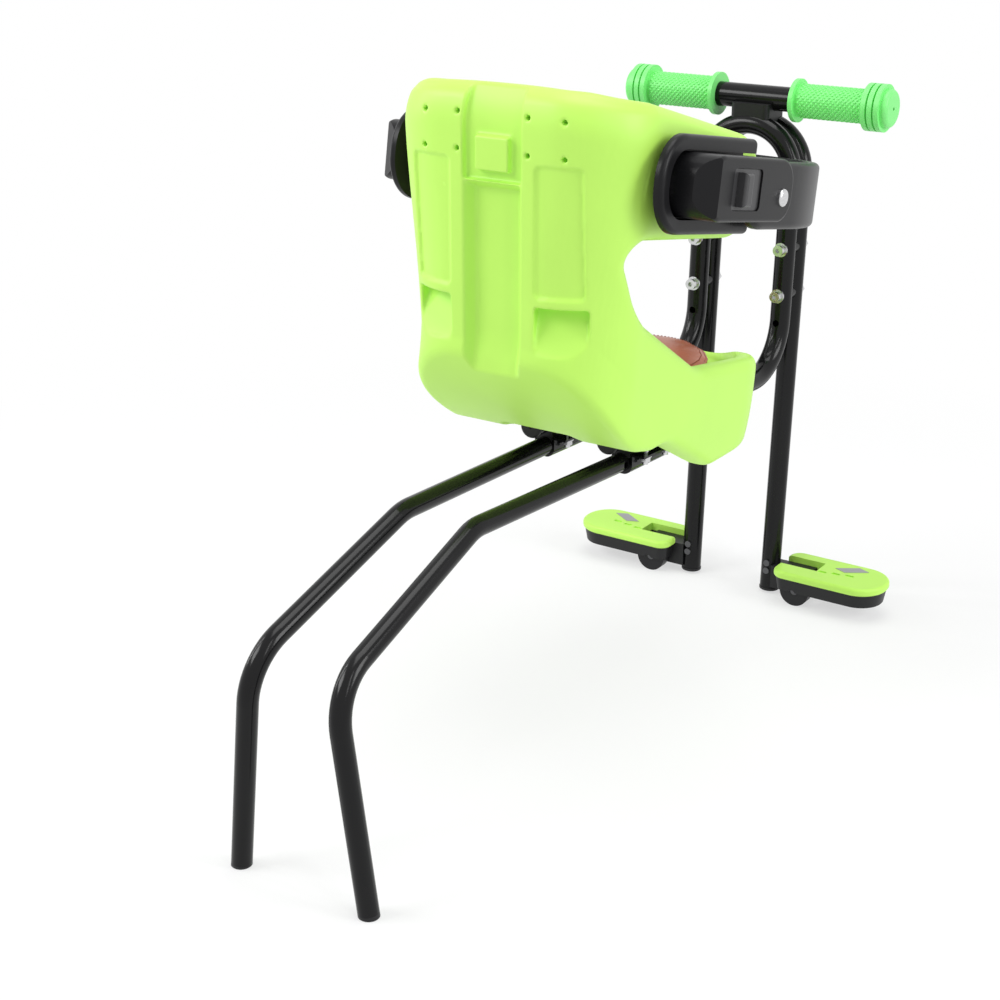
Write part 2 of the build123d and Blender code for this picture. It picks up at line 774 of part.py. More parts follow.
# Clamp bolts from the bridge down, washers and nuts under the channels
with BuildPart() as clamp_bolts:
    with BuildSketch(clamp_deck(0, bridge_flange_top)):
        with Locations(clamp_bolt_places):
            Circle(clamp_bolt_r)
    extrude(amount=-(bridge_flange_top - channel_flange_low + washer_h + clamp_nut_h + bolt_stub))
    with BuildSketch(clamp_deck(0, bridge_flange_top)):
        with Locations(clamp_bolt_places):
            Circle(clamp_head_r)
    extrude(amount=clamp_head_h)
clamp_bolts.part.label = "clamp_bolts"
export_step(clamp_bolts.part, "parts/clamp_bolts.step")

with BuildPart() as clamp_washers:
    with BuildSketch(clamp_deck(0, channel_flange_low)):
        with Locations(clamp_bolt_places):
            Circle(clamp_washer_r)
            Circle(clamp_bolt_r + seat_gap, mode=Mode.SUBTRACT)
    extrude(amount=-washer_h)
clamp_washers.part.label = "clamp_washers"
export_step(clamp_washers.part, "parts/clamp_washers.step")

with BuildPart() as clamp_nuts:
    with BuildSketch(clamp_deck(0, channel_flange_low - washer_h)):
        with Locations(clamp_bolt_places):
            RegularPolygon(clamp_nut_flats / 2, 6, major_radius=False)
            Circle(clamp_bolt_r + seat_gap, mode=Mode.SUBTRACT)
    extrude(amount=-clamp_nut_h)
clamp_nuts.part.label = "clamp_nuts"
export_step(clamp_nuts.part, "parts/clamp_nuts.step")

# Seat bolts, up through the bridge into the shell's floor
with BuildPart() as seat_bolts:
    with BuildSketch(clamp_deck(0, clamp_split)):
        with Locations(seat_bolt_places):
            Circle(bolt_r)
    extrude(amount=seat_bolt_l)
    with BuildSketch(clamp_deck(0, clamp_split)):
        with Locations(seat_bolt_places):
            Circle(bolt_head_r)
    extrude(amount=-bolt_head_h)
seat_bolts.part.label = "seat_bolts"
export_step(seat_bolts.part, "parts/seat_bolts.step")

# Bucket shell: sections from the keel to the top, carried past the profile that trims them
shell_sections = (
    (shell_base_z - shell_overrun, shell_half_w_keel),
    (shell_base_z + shell_lobe_h, shell_half_w_lobe),
    (shell_pan_z, shell_half_w_pan),
    (shell_arm_z, shell_half_w_arm),
    (shell_top_z + shell_overrun, shell_half_w_top),
)


def bucket(inset, front_y, front_corner_r):
    """Bucket form drawn in by inset, closed at front_y."""
    with BuildPart() as form:
        for section_z, half_w in shell_sections:
            with BuildSketch(Plane.XY.offset(section_z)) as section:
                with Locations((0, shell_back_y + inset)):
                    Rectangle(
                        2 * (half_w - inset),
                        front_y - shell_back_y - inset,
                        align=(Align.CENTER, Align.MIN),
                    )
                fillet(section.vertices().group_by(Axis.Y)[0], shell_rear_corner_r - inset)
                fillet(section.vertices().group_by(Axis.Y)[-1], front_corner_r)
        loft()
    return form.part


def inner_bucket(inset):
    """Form inside the shell's wall, drawn in by a further inset."""
    return bucket(shell_wall + inset, shell_lip_y - shell_wall - inset, shell_cavity_corner_r)


outer_form = bucket(0, shell_lip_y + shell_overrun, shell_lip_corner_r)
fitting_form = bucket(-seat_gap, shell_lip_y + shell_overrun, shell_lip_corner_r)
panel_form = bucket(panel_depth, shell_lip_y, shell_lip_corner_r)
plate_seat_form = inner_bucket(seat_gap)
plate_face_form = inner_bucket(seat_gap + plate_t)
rivet_seat_form = inner_bucket(2 * seat_gap + plate_t)
rivet_face_form = inner_bucket(2 * seat_gap + plate_t + plate_rivet_head_h)

tail_slope = (tail_z - belly_z) / (belly_rear_y - shell_back_y + shell_overrun)

with BuildPart() as shell_cavity:
    add(inner_bucket(0))
    with BuildSketch(Plane.YZ) as cavity_profile:
        with BuildLine():
            Polyline(
                (shell_lip_y, shell_floor_z),
                (cavity_tail_y, shell_floor_z),
                (shell_back_y, shell_floor_z + (cavity_tail_y - shell_back_y) * tail_slope),
                (shell_back_y, shell_top_z + 2 * shell_overrun),
                (shell_lip_y, shell_top_z + 2 * shell_overrun),
                close=True,
            )
        make_face()
        fillet(cavity_profile.vertices().sort_by_distance((cavity_tail_y, shell_floor_z, 0))[0], belly_r)
    extrude(amount=2 * shell_half_w_top, both=True, mode=Mode.INTERSECT)


def is_rim(face):
    """True for the faces the side profile cut, not for the floor of the cavity."""
    middle = face.center()
    faces_up = face.normal_at(middle).Z > rim_face_up
    on_floor = abs(middle.Z - shell_floor_z) < seat_gap
    on_tail = faces_up and middle.Y < 0 and middle.Z < tail_z
    return not (on_floor or on_tail)


with BuildPart() as panel_cutter:
    with BuildSketch(Plane.XZ.offset(-shell_back_y)) as panel_face:
        with Locations((panel_inner_x, panel_low_z)):
            Rectangle(panel_w, panel_h, align=(Align.MIN, Align.MIN))
        fillet(panel_face.vertices(), panel_r)
    extrude(amount=-shell_rear_corner_r)
    add(panel_form, mode=Mode.SUBTRACT)
    mirror(about=Plane.YZ)


pocket_run = (cos(radians(pocket_turn)), sin(radians(pocket_turn)), 0)
pocket_in = (-sin(radians(pocket_turn)), cos(radians(pocket_turn)), 0)

with BuildPart() as pocket_cutter:
    with BuildSketch(Plane(origin=(pocket_inner_x, shell_back_y, 0), x_dir=pocket_in, z_dir=pocket_run)):
        with BuildLine():
            Polyline(
                (-2 * shell_overrun, pocket_low_z + pocket_h),
                (pocket_depth, pocket_low_z + pocket_h),
                (0, pocket_low_z),
                (-2 * shell_overrun, pocket_low_z),
                close=True,
            )
        make_face()
    extrude(amount=pocket_w)
    mirror(about=Plane.YZ)


def latch_plane(x):
    """Latch plane at X: local X runs forward along the arm, local Y up."""
    run = (0, cos(radians(latch_tilt)), -sin(radians(latch_tilt)))
    return Plane(origin=(x, latch_y, latch_z), x_dir=run, z_dir=(1, 0, 0))


latch_rivet_places = [(plate_u, latch_mid_w + i * plate_rivet_pitch) for i in (-1, 0, 1)]

with BuildPart() as seat_shell:
    add(outer_form)
    with BuildSketch(Plane.YZ) as side_profile:
        with BuildLine():
            Polyline(
                (shell_back_y - shell_overrun, shell_top_z),
                (shell_back_y + top_flat, shell_top_z),
                (arm_tip_y, arm_tip_top_z),
                (arm_tip_y, arm_tip_low_z),
                (arm_root_y, arm_root_z),
                (rim_mid_y, rim_mid_z),
                (rim_low_y, rim_low_z),
                (shell_lip_y - lip_run, lip_top_z),
                (shell_lip_y, lip_top_z - lip_fall),
                (shell_lip_y, shell_base_z),
                (keel_rear_y, shell_base_z),
                (belly_front_y, belly_z),
                (belly_rear_y, belly_z),
                (shell_back_y - shell_overrun, tail_z),
                close=True,
            )
        make_face()
        rounds = (
            (shell_back_y + top_flat, shell_top_z, top_r),
            (arm_tip_y, arm_tip_top_z, arm_tip_r),
            (arm_tip_y, arm_tip_low_z, arm_tip_r),
            (arm_root_y, arm_root_z, opening_r),
            (rim_mid_y, rim_mid_z, rim_mid_r),
            (rim_low_y, rim_low_z, rim_low_r),
            (shell_lip_y, lip_top_z - lip_fall, lip_upper_r),
            (shell_lip_y, shell_base_z, lip_lower_r),
            (keel_rear_y, shell_base_z, belly_r),
            (belly_front_y, belly_z, belly_r),
            (belly_rear_y, belly_z, belly_r),
        )
        for y, z, radius in rounds:
            fillet(side_profile.vertices().sort_by_distance((y, z, 0))[0], radius)
    extrude(amount=2 * shell_half_w_top, both=True, mode=Mode.INTERSECT)
    add(shell_cavity.part, mode=Mode.SUBTRACT)
    rim_faces = seat_shell.faces().filter_by(GeomType.PLANE) + seat_shell.faces().filter_by(GeomType.CYLINDER)
    fillet(rim_faces.filter_by(is_rim).edges().filter_by(GeomType.LINE, reverse=True), rim_r)
    # Underside channel for the carriers, between two lobes
    with BuildSketch(Plane.XZ.offset(-shell_lip_y - shell_overrun)) as underside:
        with BuildLine():
            Polyline(
                (-underside_half_w, bridge_top),
                (underside_half_w, bridge_top),
                (underside_half_w + underside_draft, shell_base_z - shell_overrun),
                (-underside_half_w - underside_draft, shell_base_z - shell_overrun),
                close=True,
            )
        make_face()
        fillet(underside.vertices().group_by(Axis.Y)[-1], underside_r)
    extrude(amount=shell_lip_y + shell_overrun - underside_rear_y, mode=Mode.SUBTRACT)
    with BuildSketch(Plane.XZ.offset(-underside_rear_y)) as rear_notch:
        with Locations((0, notch_top_z)):
            Rectangle(
                2 * notch_half_w_rear,
                notch_top_z - shell_base_z + shell_overrun,
                align=(Align.CENTER, Align.MAX),
            )
        fillet(rear_notch.vertices().group_by(Axis.Y)[-1], underside_r)
    extrude(amount=underside_rear_y - shell_back_y, mode=Mode.SUBTRACT)
    # Groove down the back, with a shallower head and a square boss in it
    with BuildSketch(Plane.XZ.offset(-shell_back_y)):
        with Locations((0, back_groove_low_z)):
            Rectangle(
                2 * back_groove_half_w,
                back_groove_step_z - back_groove_low_z,
                align=(Align.CENTER, Align.MIN),
            )
    extrude(amount=-back_groove_depth, taper=back_groove_draft, mode=Mode.SUBTRACT)
    with BuildSketch(Plane.XZ.offset(-shell_back_y)):
        with Locations((0, back_groove_step_z)):
            Rectangle(
                2 * back_groove_half_w, shell_top_z - back_groove_step_z, align=(Align.CENTER, Align.MIN)
            )
        with Locations((0, back_boss_low_z)):
            Rectangle(
                2 * back_boss_half_w, back_boss_h, align=(Align.CENTER, Align.MIN), mode=Mode.SUBTRACT
            )
    extrude(amount=-(back_groove_depth - back_groove_step), mode=Mode.SUBTRACT)
    # Label panels, hand pockets and moulding marks
    add(panel_cutter.part, mode=Mode.SUBTRACT)
    add(pocket_cutter.part, mode=Mode.SUBTRACT)
    for x_side in (-1, 1):
        with BuildSketch(Plane.XZ.offset(-shell_back_y)):
            for i in range(2):
                for k in range(2):
                    mark_x = x_side * (pin_mark_inner_x + i * pin_mark_pitch_x)
                    with Locations((mark_x, pin_mark_low_z + k * pin_mark_pitch_z)):
                        Circle(pin_mark_r)
        extrude(amount=-pin_mark_depth, mode=Mode.SUBTRACT)
        with BuildSketch(latch_plane(0)):
            with Locations(latch_rivet_places):
                Circle(plate_rivet_r + seat_gap)
        extrude(amount=x_side * base_outer_x, mode=Mode.SUBTRACT)
    with BuildSketch(clamp_deck(0, clamp_split)):
        with Locations(seat_bolt_places):
            Circle(bolt_r + seat_gap)
    extrude(amount=seat_bolt_l + slip_gap, mode=Mode.SUBTRACT)
seat_shell.part.label = "seat_shell"
export_step(seat_shell.part, "parts/seat_shell.step")

# Seat cushion on the floor of the bucket
with BuildPart() as seat_cushion:
    with BuildSketch(Plane.XY.offset(shell_floor_z)):
        with Locations((0, cushion_y)):
            Ellipse(cushion_half_w, cushion_half_l)
    extrude(amount=cushion_h)
    fillet(seat_cushion.faces().sort_by(Axis.Z)[-1].edges(), cushion_edge_r)
seat_cushion.part.label = "seat_cushion"
export_step(seat_cushion.part, "parts/seat_cushion.step")

# Back pad against the back wall
with BuildPart() as back_pad:
    with BuildSketch(Plane.XZ.offset(-(shell_back_y + shell_wall + pad_t))):
        with Locations((0, pad_z)):
            Ellipse(pad_half_w, pad_half_h)
    extrude(amount=2 * pad_t)
    fillet(back_pad.faces().sort_by(Axis.Y)[-1].edges(), pad_edge_r)
    add(plate_seat_form, mode=Mode.INTERSECT)
back_pad.part.label = "back_pad"
export_step(back_pad.part, "parts/back_pad.step")

# Latch bases on the arms: floor plate with a C-shaped rim, open to the front
with BuildPart() as latch_base_right:
    with BuildSketch(latch_plane(base_root_x)) as neck_outline:
        with Locations((neck_rear_u, latch_mid_w)):
            Rectangle(neck_tip_u - neck_rear_u, 2 * neck_half_h, align=(Align.MIN, Align.CENTER))
        fillet(neck_outline.vertices().group_by(Axis.X)[0], neck_r)
        fillet(neck_outline.vertices().group_by(Axis.X)[-1], base_tip_r)
    with BuildSketch(latch_plane(base_flange_x)) as base_outline:
        with Locations((base_rear_u, latch_mid_w)):
            Rectangle(base_tip_u - base_rear_u, 2 * base_half_h, align=(Align.MIN, Align.CENTER))
        fillet(base_outline.vertices().group_by(Axis.X)[0], base_rear_r)
        fillet(base_outline.vertices().group_by(Axis.X)[-1], base_tip_r)
    loft()
    extrude(base_outline.sketch, amount=base_outer_x - base_flange_x)
    fillet(latch_base_right.faces().sort_by(Axis.X)[-1].edges(), base_edge_r)
    with BuildSketch(latch_plane(base_floor_x)) as base_mouth:
        with Locations((base_rear_u + base_rim, latch_mid_w)):
            Rectangle(
                base_tip_u - base_rear_u, 2 * (base_half_h - base_rim), align=(Align.MIN, Align.CENTER)
            )
        fillet(base_mouth.vertices().group_by(Axis.X)[0], base_rear_r - base_rim)
    extrude(amount=base_outer_x - base_floor_x, mode=Mode.SUBTRACT)
    add(fitting_form, mode=Mode.SUBTRACT)
    with BuildSketch(latch_plane(base_root_x)):
        with Locations(latch_rivet_places):
            Circle(plate_rivet_r + seat_gap)
    extrude(amount=base_outer_x - base_root_x, mode=Mode.SUBTRACT)
latch_base_right.part.label = "latch_base_right"
export_step(latch_base_right.part, "parts/latch_base_right.step")

with BuildPart() as latch_base_left:
    mirror(latch_base_right.part, about=Plane.YZ)
latch_base_left.part.label = "latch_base_left"
export_step(latch_base_left.part, "parts/latch_base_left.step")

# Buckle bodies: sloped rear, button window, and a tongue over the end of the guard
latch_run = (0, cos(radians(latch_tilt)), -sin(radians(latch_tilt)))
latch_down = (0, -sin(radians(latch_tilt)), -cos(radians(latch_tilt)))
latch_plan = Plane(
    origin=(0, latch_y, latch_z), x_dir=latch_run, z_dir=latch_down
).offset(-latch_mid_w)
guard_inner_x = guard_outer_x - guard_t

with BuildPart() as buckle_body_right:
    with BuildSketch(latch_plane(base_floor_x)) as body_outline:
        with Locations((body_rear_u, latch_mid_w)):
            Rectangle(body_front_u - body_rear_u, 2 * body_half_h, align=(Align.MIN, Align.CENTER))
        fillet(body_outline.vertices().group_by(Axis.X)[0], body_corner_r)
        fillet(body_outline.vertices().group_by(Axis.X)[-1], body_nose_r)
    extrude(amount=body_outer_x - base_floor_x)
    fillet(buckle_body_right.faces().sort_by(Axis.X)[-1].edges(), body_edge_r)
    with BuildSketch(latch_plane(base_floor_x)):
        with Locations((tongue_rear_u, latch_mid_w)):
            Rectangle(
                2 * (body_front_u - tongue_rear_u), 4 * body_half_h, align=(Align.MIN, Align.CENTER)
            )
    extrude(amount=body_outer_x - tongue_t - base_floor_x, mode=Mode.SUBTRACT)
    with BuildSketch(latch_plan):
        with BuildLine():
            Polyline(
                (body_rear_u, body_outer_x - body_chamfer_x),
                (body_rear_u + body_chamfer_l, body_outer_x),
                (body_rear_u, body_outer_x),
                close=True,
            )
        make_face()
    extrude(amount=2 * body_half_h, both=True, mode=Mode.SUBTRACT)
    with BuildSketch(latch_plane(window_floor_x)) as window:
        with Locations((window_rear_u, latch_mid_w)):
            Rectangle(window_l, 2 * window_half_h, align=(Align.MIN, Align.CENTER))
        fillet(window.vertices(), window_r)
    extrude(amount=body_outer_x - window_floor_x, mode=Mode.SUBTRACT)
    with BuildSketch(latch_plane(base_floor_x)):
        with Locations((pivot_u, pivot_w)):
            Circle(pivot_r + seat_gap)
    extrude(amount=body_outer_x - base_floor_x, mode=Mode.SUBTRACT)
buckle_body_right.part.label = "buckle_body_right"
export_step(buckle_body_right.part, "parts/buckle_body_right.step")

with BuildPart() as buckle_body_left:
    mirror(buckle_body_right.part, about=Plane.YZ)
buckle_body_left.part.label = "buckle_body_left"
export_step(buckle_body_left.part, "parts/buckle_body_left.step")

# Release buttons with a finger ridge, and the bowed leaf springs behind them
button_face_x = body_outer_x - button_recess
button_back_x = button_face_x - button_t
button_mid_u = window_rear_u + window_l / 2

with BuildPart() as release_button_right:
    with BuildSketch(latch_plane(button_back_x)) as button_outline:
        with Locations((button_mid_u, latch_mid_w)):
            Rectangle(window_l - 2 * slip_gap, 2 * (window_half_h - slip_gap))
        fillet(button_outline.vertices(), window_r)
    extrude(amount=button_t)
    with BuildSketch(latch_plane(button_face_x)):
        with Locations((window_rear_u + ridge_inset, latch_mid_w)):
            Rectangle(ridge_l, 2 * ridge_half_h, align=(Align.MIN, Align.CENTER))
    extrude(amount=ridge_h)
    fillet(release_button_right.faces().sort_by(Axis.X)[-1].edges(), ridge_edge_r)
release_button_right.part.label = "release_button_right"
export_step(release_button_right.part, "parts/release_button_right.step")

with BuildPart() as release_button_left:
    mirror(release_button_right.part, about=Plane.YZ)
release_button_left.part.label = "release_button_left"
export_step(release_button_left.part, "parts/release_button_left.step")

with BuildPart() as button_spring_right:
    with BuildSketch(latch_plan):
        with BuildLine():
            foot_x = window_floor_x + seat_gap
            crown_x = button_back_x - seat_gap
            ThreePointArc(
                (button_mid_u - spring_half_l, foot_x + spring_t),
                (button_mid_u, crown_x),
                (button_mid_u + spring_half_l, foot_x + spring_t),
            )
            Line((button_mid_u + spring_half_l, foot_x + spring_t), (button_mid_u + spring_half_l, foot_x))
            ThreePointArc(
                (button_mid_u + spring_half_l, foot_x),
                (button_mid_u, crown_x - spring_t),
                (button_mid_u - spring_half_l, foot_x),
            )
            Line((button_mid_u - spring_half_l, foot_x), (button_mid_u - spring_half_l, foot_x + spring_t))
        make_face()
    extrude(amount=spring_half_w, both=True)
button_spring_right.part.label = "button_spring_right"
export_step(button_spring_right.part, "parts/button_spring_right.step")

with BuildPart() as button_spring_left:
    mirror(button_spring_right.part, about=Plane.YZ)
button_spring_left.part.label = "button_spring_left"
export_step(button_spring_left.part, "parts/button_spring_left.step")

# Backing plates inside the arms, and the rivets through plate, arm and base
with BuildPart() as inner_plate_right:
    with BuildSketch(latch_plane(0)) as plate_outline:
        with Locations((plate_u, latch_mid_w)):
            Rectangle(2 * plate_half_w, 2 * plate_half_h)
        fillet(plate_outline.vertices(), plate_t)
    extrude(amount=base_floor_x)
    add(plate_seat_form, mode=Mode.INTERSECT)
    add(plate_face_form, mode=Mode.SUBTRACT)
    with BuildSketch(latch_plane(0)):
        with Locations(latch_rivet_places):
            Circle(plate_rivet_r + seat_gap)
    extrude(amount=base_floor_x, mode=Mode.SUBTRACT)
inner_plate_right.part.label = "inner_plate_right"
export_step(inner_plate_right.part, "parts/inner_plate_right.step")

with BuildPart() as inner_plate_left:
    mirror(inner_plate_right.part, about=Plane.YZ)
inner_plate_left.part.label = "inner_plate_left"
export_step(inner_plate_left.part, "parts/inner_plate_left.step")

with BuildPart() as latch_rivets:
    with BuildSketch(latch_plane(0)):
        with Locations(latch_rivet_places):
            Circle(plate_rivet_head_r)
    extrude(amount=base_floor_x)
    add(rivet_seat_form, mode=Mode.INTERSECT)
    with BuildSketch(latch_plane(0)):
        with Locations(latch_rivet_places):
            Circle(plate_rivet_r)
    extrude(amount=base_floor_x)
    add(rivet_face_form, mode=Mode.SUBTRACT)
    mirror(about=Plane.YZ)
latch_rivets.part.label = "latch_rivets"
export_step(latch_rivets.part, "parts/latch_rivets.step")

# Guard rail: a U-shaped band on two rivets
guard_plan_plane = Plane(
    origin=(0, latch_y, latch_z), x_dir=(1, 0, 0), z_dir=latch_plane(0).y_dir
).offset(pivot_w)

with BuildPart() as guard_rail:
    with BuildSketch(guard_plan_plane):
        with Locations((0, guard_bend_u)):
            Ellipse(guard_outer_x, guard_reach)
            Ellipse(guard_inner_x, guard_reach - guard_t, mode=Mode.SUBTRACT)
            Rectangle(4 * guard_outer_x, 2 * guard_reach, align=(Align.CENTER, Align.MAX), mode=Mode.SUBTRACT)
        for x_side in (-1, 1):
            with Locations((x_side * (guard_outer_x - guard_t / 2), guard_bend_u)):
                Rectangle(guard_t, guard_bend_u - pivot_u + guard_half_h, align=(Align.CENTER, Align.MAX))
    extrude(amount=guard_half_h, both=True)
    with BuildSketch(latch_plane(0)):
        with Locations((pivot_u, pivot_w)):
            Circle(guard_half_h)
            Rectangle(2 * guard_reach, 2 * guard_half_h, align=(Align.MIN, Align.CENTER))
    extrude(amount=2 * guard_outer_x, both=True, mode=Mode.INTERSECT)
    guard_up = Axis((0, latch_y, latch_z), latch_plane(0).y_dir)
    brim = guard_rail.faces().sort_by(guard_up)[-1].edges() + guard_rail.faces().sort_by(guard_up)[0].edges()
    fillet(brim.filter_by(Axis.X, reverse=True), guard_edge_r)
    with BuildSketch(latch_plane(0)):
        with Locations((pivot_u, pivot_w)):
            Circle(pivot_r + running_gap)
    extrude(amount=2 * guard_outer_x, both=True, mode=Mode.SUBTRACT)
guard_rail.part.label = "guard_rail"
export_step(guard_rail.part, "parts/guard_rail.step")

with BuildPart() as guard_rivets:
    tail_x = guard_inner_x - slip_gap - pivot_tail_h
    with BuildSketch(latch_plane(tail_x)):
        with Locations((pivot_u, pivot_w)):
            Circle(pivot_r)
    extrude(amount=body_outer_x - tail_x)
    with BuildSketch(latch_plane(body_outer_x)):
        with Locations((pivot_u, pivot_w)):
            Circle(pivot_head_r)
    extrude(amount=pivot_head_h)
    fillet(guard_rivets.faces().sort_by(Axis.X)[-1].edges(), pivot_head_edge_r)
    with BuildSketch(latch_plane(tail_x)):
        with Locations((pivot_u, pivot_w)):
            Circle(pivot_tail_r)
    extrude(amount=pivot_tail_h)
    mirror(about=Plane.YZ)
guard_rivets.part.label = "guard_rivets"
export_step(guard_rivets.part, "parts/guard_rivets.step")

# Pedal knuckles, fish-mouthed to the front legs and pinned by a stud
hinge_y = stud_point(1)[1]
pedal_y = front_leg_y - pedal_setback
insert_y = pedal_y + insert_lead
dimple_y = pedal_y + dimple_lead
hinge_plane = Plane.XZ.offset(-hinge_y)

with BuildPart() as pedal_knuckle_right:
    with BuildSketch(hinge_plane):
        with Locations((pedal_pivot_x, pedal_pivot_z)):
            Circle(knuckle_r)
        with Locations((hairpin_half_spacing + knuckle_root, knuckle_low_z)):
            Rectangle(
                pedal_pivot_x + knuckle_reach - hairpin_half_spacing - knuckle_root,
                knuckle_top_z - knuckle_low_z,
                align=(Align.MIN, Align.MIN),
            )
    extrude(amount=knuckle_half_w, both=True)
    leg_foot = hairpin_point(hairpin_half_spacing, 0, 0)
    with BuildSketch(Plane(origin=leg_foot, x_dir=(1, 0, 0), z_dir=hairpin_up)):
        Circle(hairpin_r + seat_gap)
    extrude(amount=2 * knuckle_top_z, mode=Mode.SUBTRACT)
    with BuildSketch(Plane(origin=stud_point(1), z_dir=(1, 0, 0)).offset(hairpin_r - stud_bite)):
        Circle(stud_r)
    extrude(amount=stud_bite + knuckle_root)
    with BuildSketch(hinge_plane):
        with Locations((pedal_pivot_x, pedal_pivot_z)):
            Circle(pedal_pin_r + running_gap)
    extrude(amount=2 * knuckle_half_w, both=True, mode=Mode.SUBTRACT)
pedal_knuckle_right.part.label = "pedal_knuckle_right"
export_step(pedal_knuckle_right.part, "parts/pedal_knuckle_right.step")

with BuildPart() as pedal_knuckle_left:
    mirror(pedal_knuckle_right.part, about=Plane.YZ)
pedal_knuckle_left.part.label = "pedal_knuckle_left"
export_step(pedal_knuckle_left.part, "parts/pedal_knuckle_left.step")

notch_half_w = knuckle_half_w + ear_gap

with BuildPart() as pedal_pin_right:
    with BuildSketch(hinge_plane):
        with Locations((pedal_pivot_x, pedal_pivot_z)):
            Circle(pedal_pin_r)
    extrude(amount=notch_half_w + ear_w, both=True)
pedal_pin_right.part.label = "pedal_pin_right"
export_step(pedal_pin_right.part, "parts/pedal_pin_right.step")

with BuildPart() as pedal_pin_left:
    mirror(pedal_pin_right.part, about=Plane.YZ)
pedal_pin_left.part.label = "pedal_pin_left"
export_step(pedal_pin_left.part, "parts/pedal_pin_left.step")


def pedal_outline(inset):
    """Oval pedal plan, drawn in by inset: round tip outboard, smaller corners at the leg."""
    with BuildSketch() as outline:
        with Locations((pedal_inner_x + inset, pedal_y)):
            Rectangle(
                pedal_outer_x - pedal_inner_x - 2 * inset,
                2 * (pedal_half_w - inset),
                align=(Align.MIN, Align.CENTER),
            )
        fillet(outline.vertices().group_by(Axis.X)[0], pedal_heel_r - inset)
        fillet(outline.vertices().group_by(Axis.X)[-1], pedal_tip_r - inset)
    return outline.sketch


# Pedal bases: tapered trays, open below, on two hinge ears
base_plan = pedal_outline(pedal_base_inset)
base_hollow_plan = pedal_outline(pedal_base_inset + pedal_base_wall)

with BuildPart() as pedal_base_right:
    with BuildSketch(Plane.XY.offset(pedal_deck_z)):
        add(base_plan)
    extrude(amount=-pedal_base_h, taper=pedal_base_taper)
    with BuildSketch(Plane.XY.offset(pedal_deck_z - pedal_deck_t)):
        add(base_hollow_plan)
    extrude(amount=-pedal_base_h, mode=Mode.SUBTRACT)
    with BuildSketch(hinge_plane):
        with Locations((pedal_pivot_x, pedal_pivot_z)):
            Circle(ear_r)
            Rectangle(2 * ear_r, pedal_deck_z - pedal_pivot_z, align=(Align.CENTER, Align.MIN))
        with Locations((pedal_pivot_x, pedal_deck_z)):
            Rectangle(4 * ear_r, ear_r, align=(Align.CENTER, Align.MIN), mode=Mode.SUBTRACT)
    extrude(amount=notch_half_w + ear_w, both=True)
    with BuildSketch(Plane.XY):
        with Locations((notch_end_x, hinge_y)):
            Rectangle(notch_end_x, 2 * notch_half_w, align=(Align.MAX, Align.CENTER))
    extrude(amount=pedal_deck_z, mode=Mode.SUBTRACT)
    with BuildSketch(hinge_plane):
        with Locations((pedal_pivot_x, pedal_pivot_z)):
            Circle(pedal_pin_r + seat_gap)
    extrude(amount=2 * pedal_half_w, both=True, mode=Mode.SUBTRACT)
pedal_base_right.part.label = "pedal_base_right"
export_step(pedal_base_right.part, "parts/pedal_base_right.step")

with BuildPart() as pedal_base_left:
    mirror(pedal_base_right.part, about=Plane.YZ)
pedal_base_left.part.label = "pedal_base_left"
export_step(pedal_base_left.part, "parts/pedal_base_left.step")

# Pedal caps with an anti-slip insert and a row of dimples
cap_plan = pedal_outline(0)
cap_top_z = pedal_deck_z + pedal_cap_h
insert_points = [
    (insert_x - insert_half_l, insert_y - insert_flat),
    (insert_x - insert_flat, insert_y - insert_half_w),
    (insert_x + insert_half_l, insert_y + insert_flat),
    (insert_x + insert_flat, insert_y + insert_half_w),
]

with BuildPart() as pedal_cap_right:
    with BuildSketch(Plane.XY.offset(pedal_deck_z)):
        add(cap_plan)
    extrude(amount=pedal_cap_h)
    fillet(pedal_cap_right.faces().filter_by(Axis.Z).edges(), pedal_cap_r)
    with BuildSketch(Plane.XY.offset(pedal_deck_z)):
        with Locations((notch_end_x, hinge_y)):
            Rectangle(notch_end_x, 2 * notch_half_w, align=(Align.MAX, Align.CENTER))
    extrude(amount=pedal_cap_h, mode=Mode.SUBTRACT)
    with BuildSketch(Plane.XY.offset(cap_top_z)):
        Polygon(*insert_points, align=None)
    extrude(amount=-insert_depth, mode=Mode.SUBTRACT)
    with BuildSketch(Plane.XY.offset(cap_top_z)):
        for i in range(dimples):
            with Locations((dimple_x + i * dimple_pitch_x, dimple_y + i * dimple_pitch_y)):
                SlotOverall(dimple_l, 2 * dimple_r)
    extrude(amount=-dimple_depth, mode=Mode.SUBTRACT)
pedal_cap_right.part.label = "pedal_cap_right"
export_step(pedal_cap_right.part, "parts/pedal_cap_right.step")

with BuildPart() as pedal_cap_left:
    mirror(pedal_cap_right.part, about=Plane.YZ)
pedal_cap_left.part.label = "pedal_cap_left"
export_step(pedal_cap_left.part, "parts/pedal_cap_left.step")

with BuildPart() as pedal_insert_right:
    with BuildSketch(Plane.XY.offset(cap_top_z - insert_depth)):
        Polygon(*insert_points, align=None)
        offset(amount=-seat_gap, mode=Mode.REPLACE)
    extrude(amount=insert_depth + insert_proud)
pedal_insert_right.part.label = "pedal_insert_right"
export_step(pedal_insert_right.part, "parts/pedal_insert_right.step")

with BuildPart() as pedal_insert_left:
    mirror(pedal_insert_right.part, about=Plane.YZ)
pedal_insert_left.part.label = "pedal_insert_left"
export_step(pedal_insert_left.part, "parts/pedal_insert_left.step")
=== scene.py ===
"""Looks for the child's bicycle seat: materials, shell skin, pads, small pieces, stage and camera."""
import json
from math import cos, pi, radians, sin

import bmesh
import bpy
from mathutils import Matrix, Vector
from mathutils.bvhtree import BVHTree


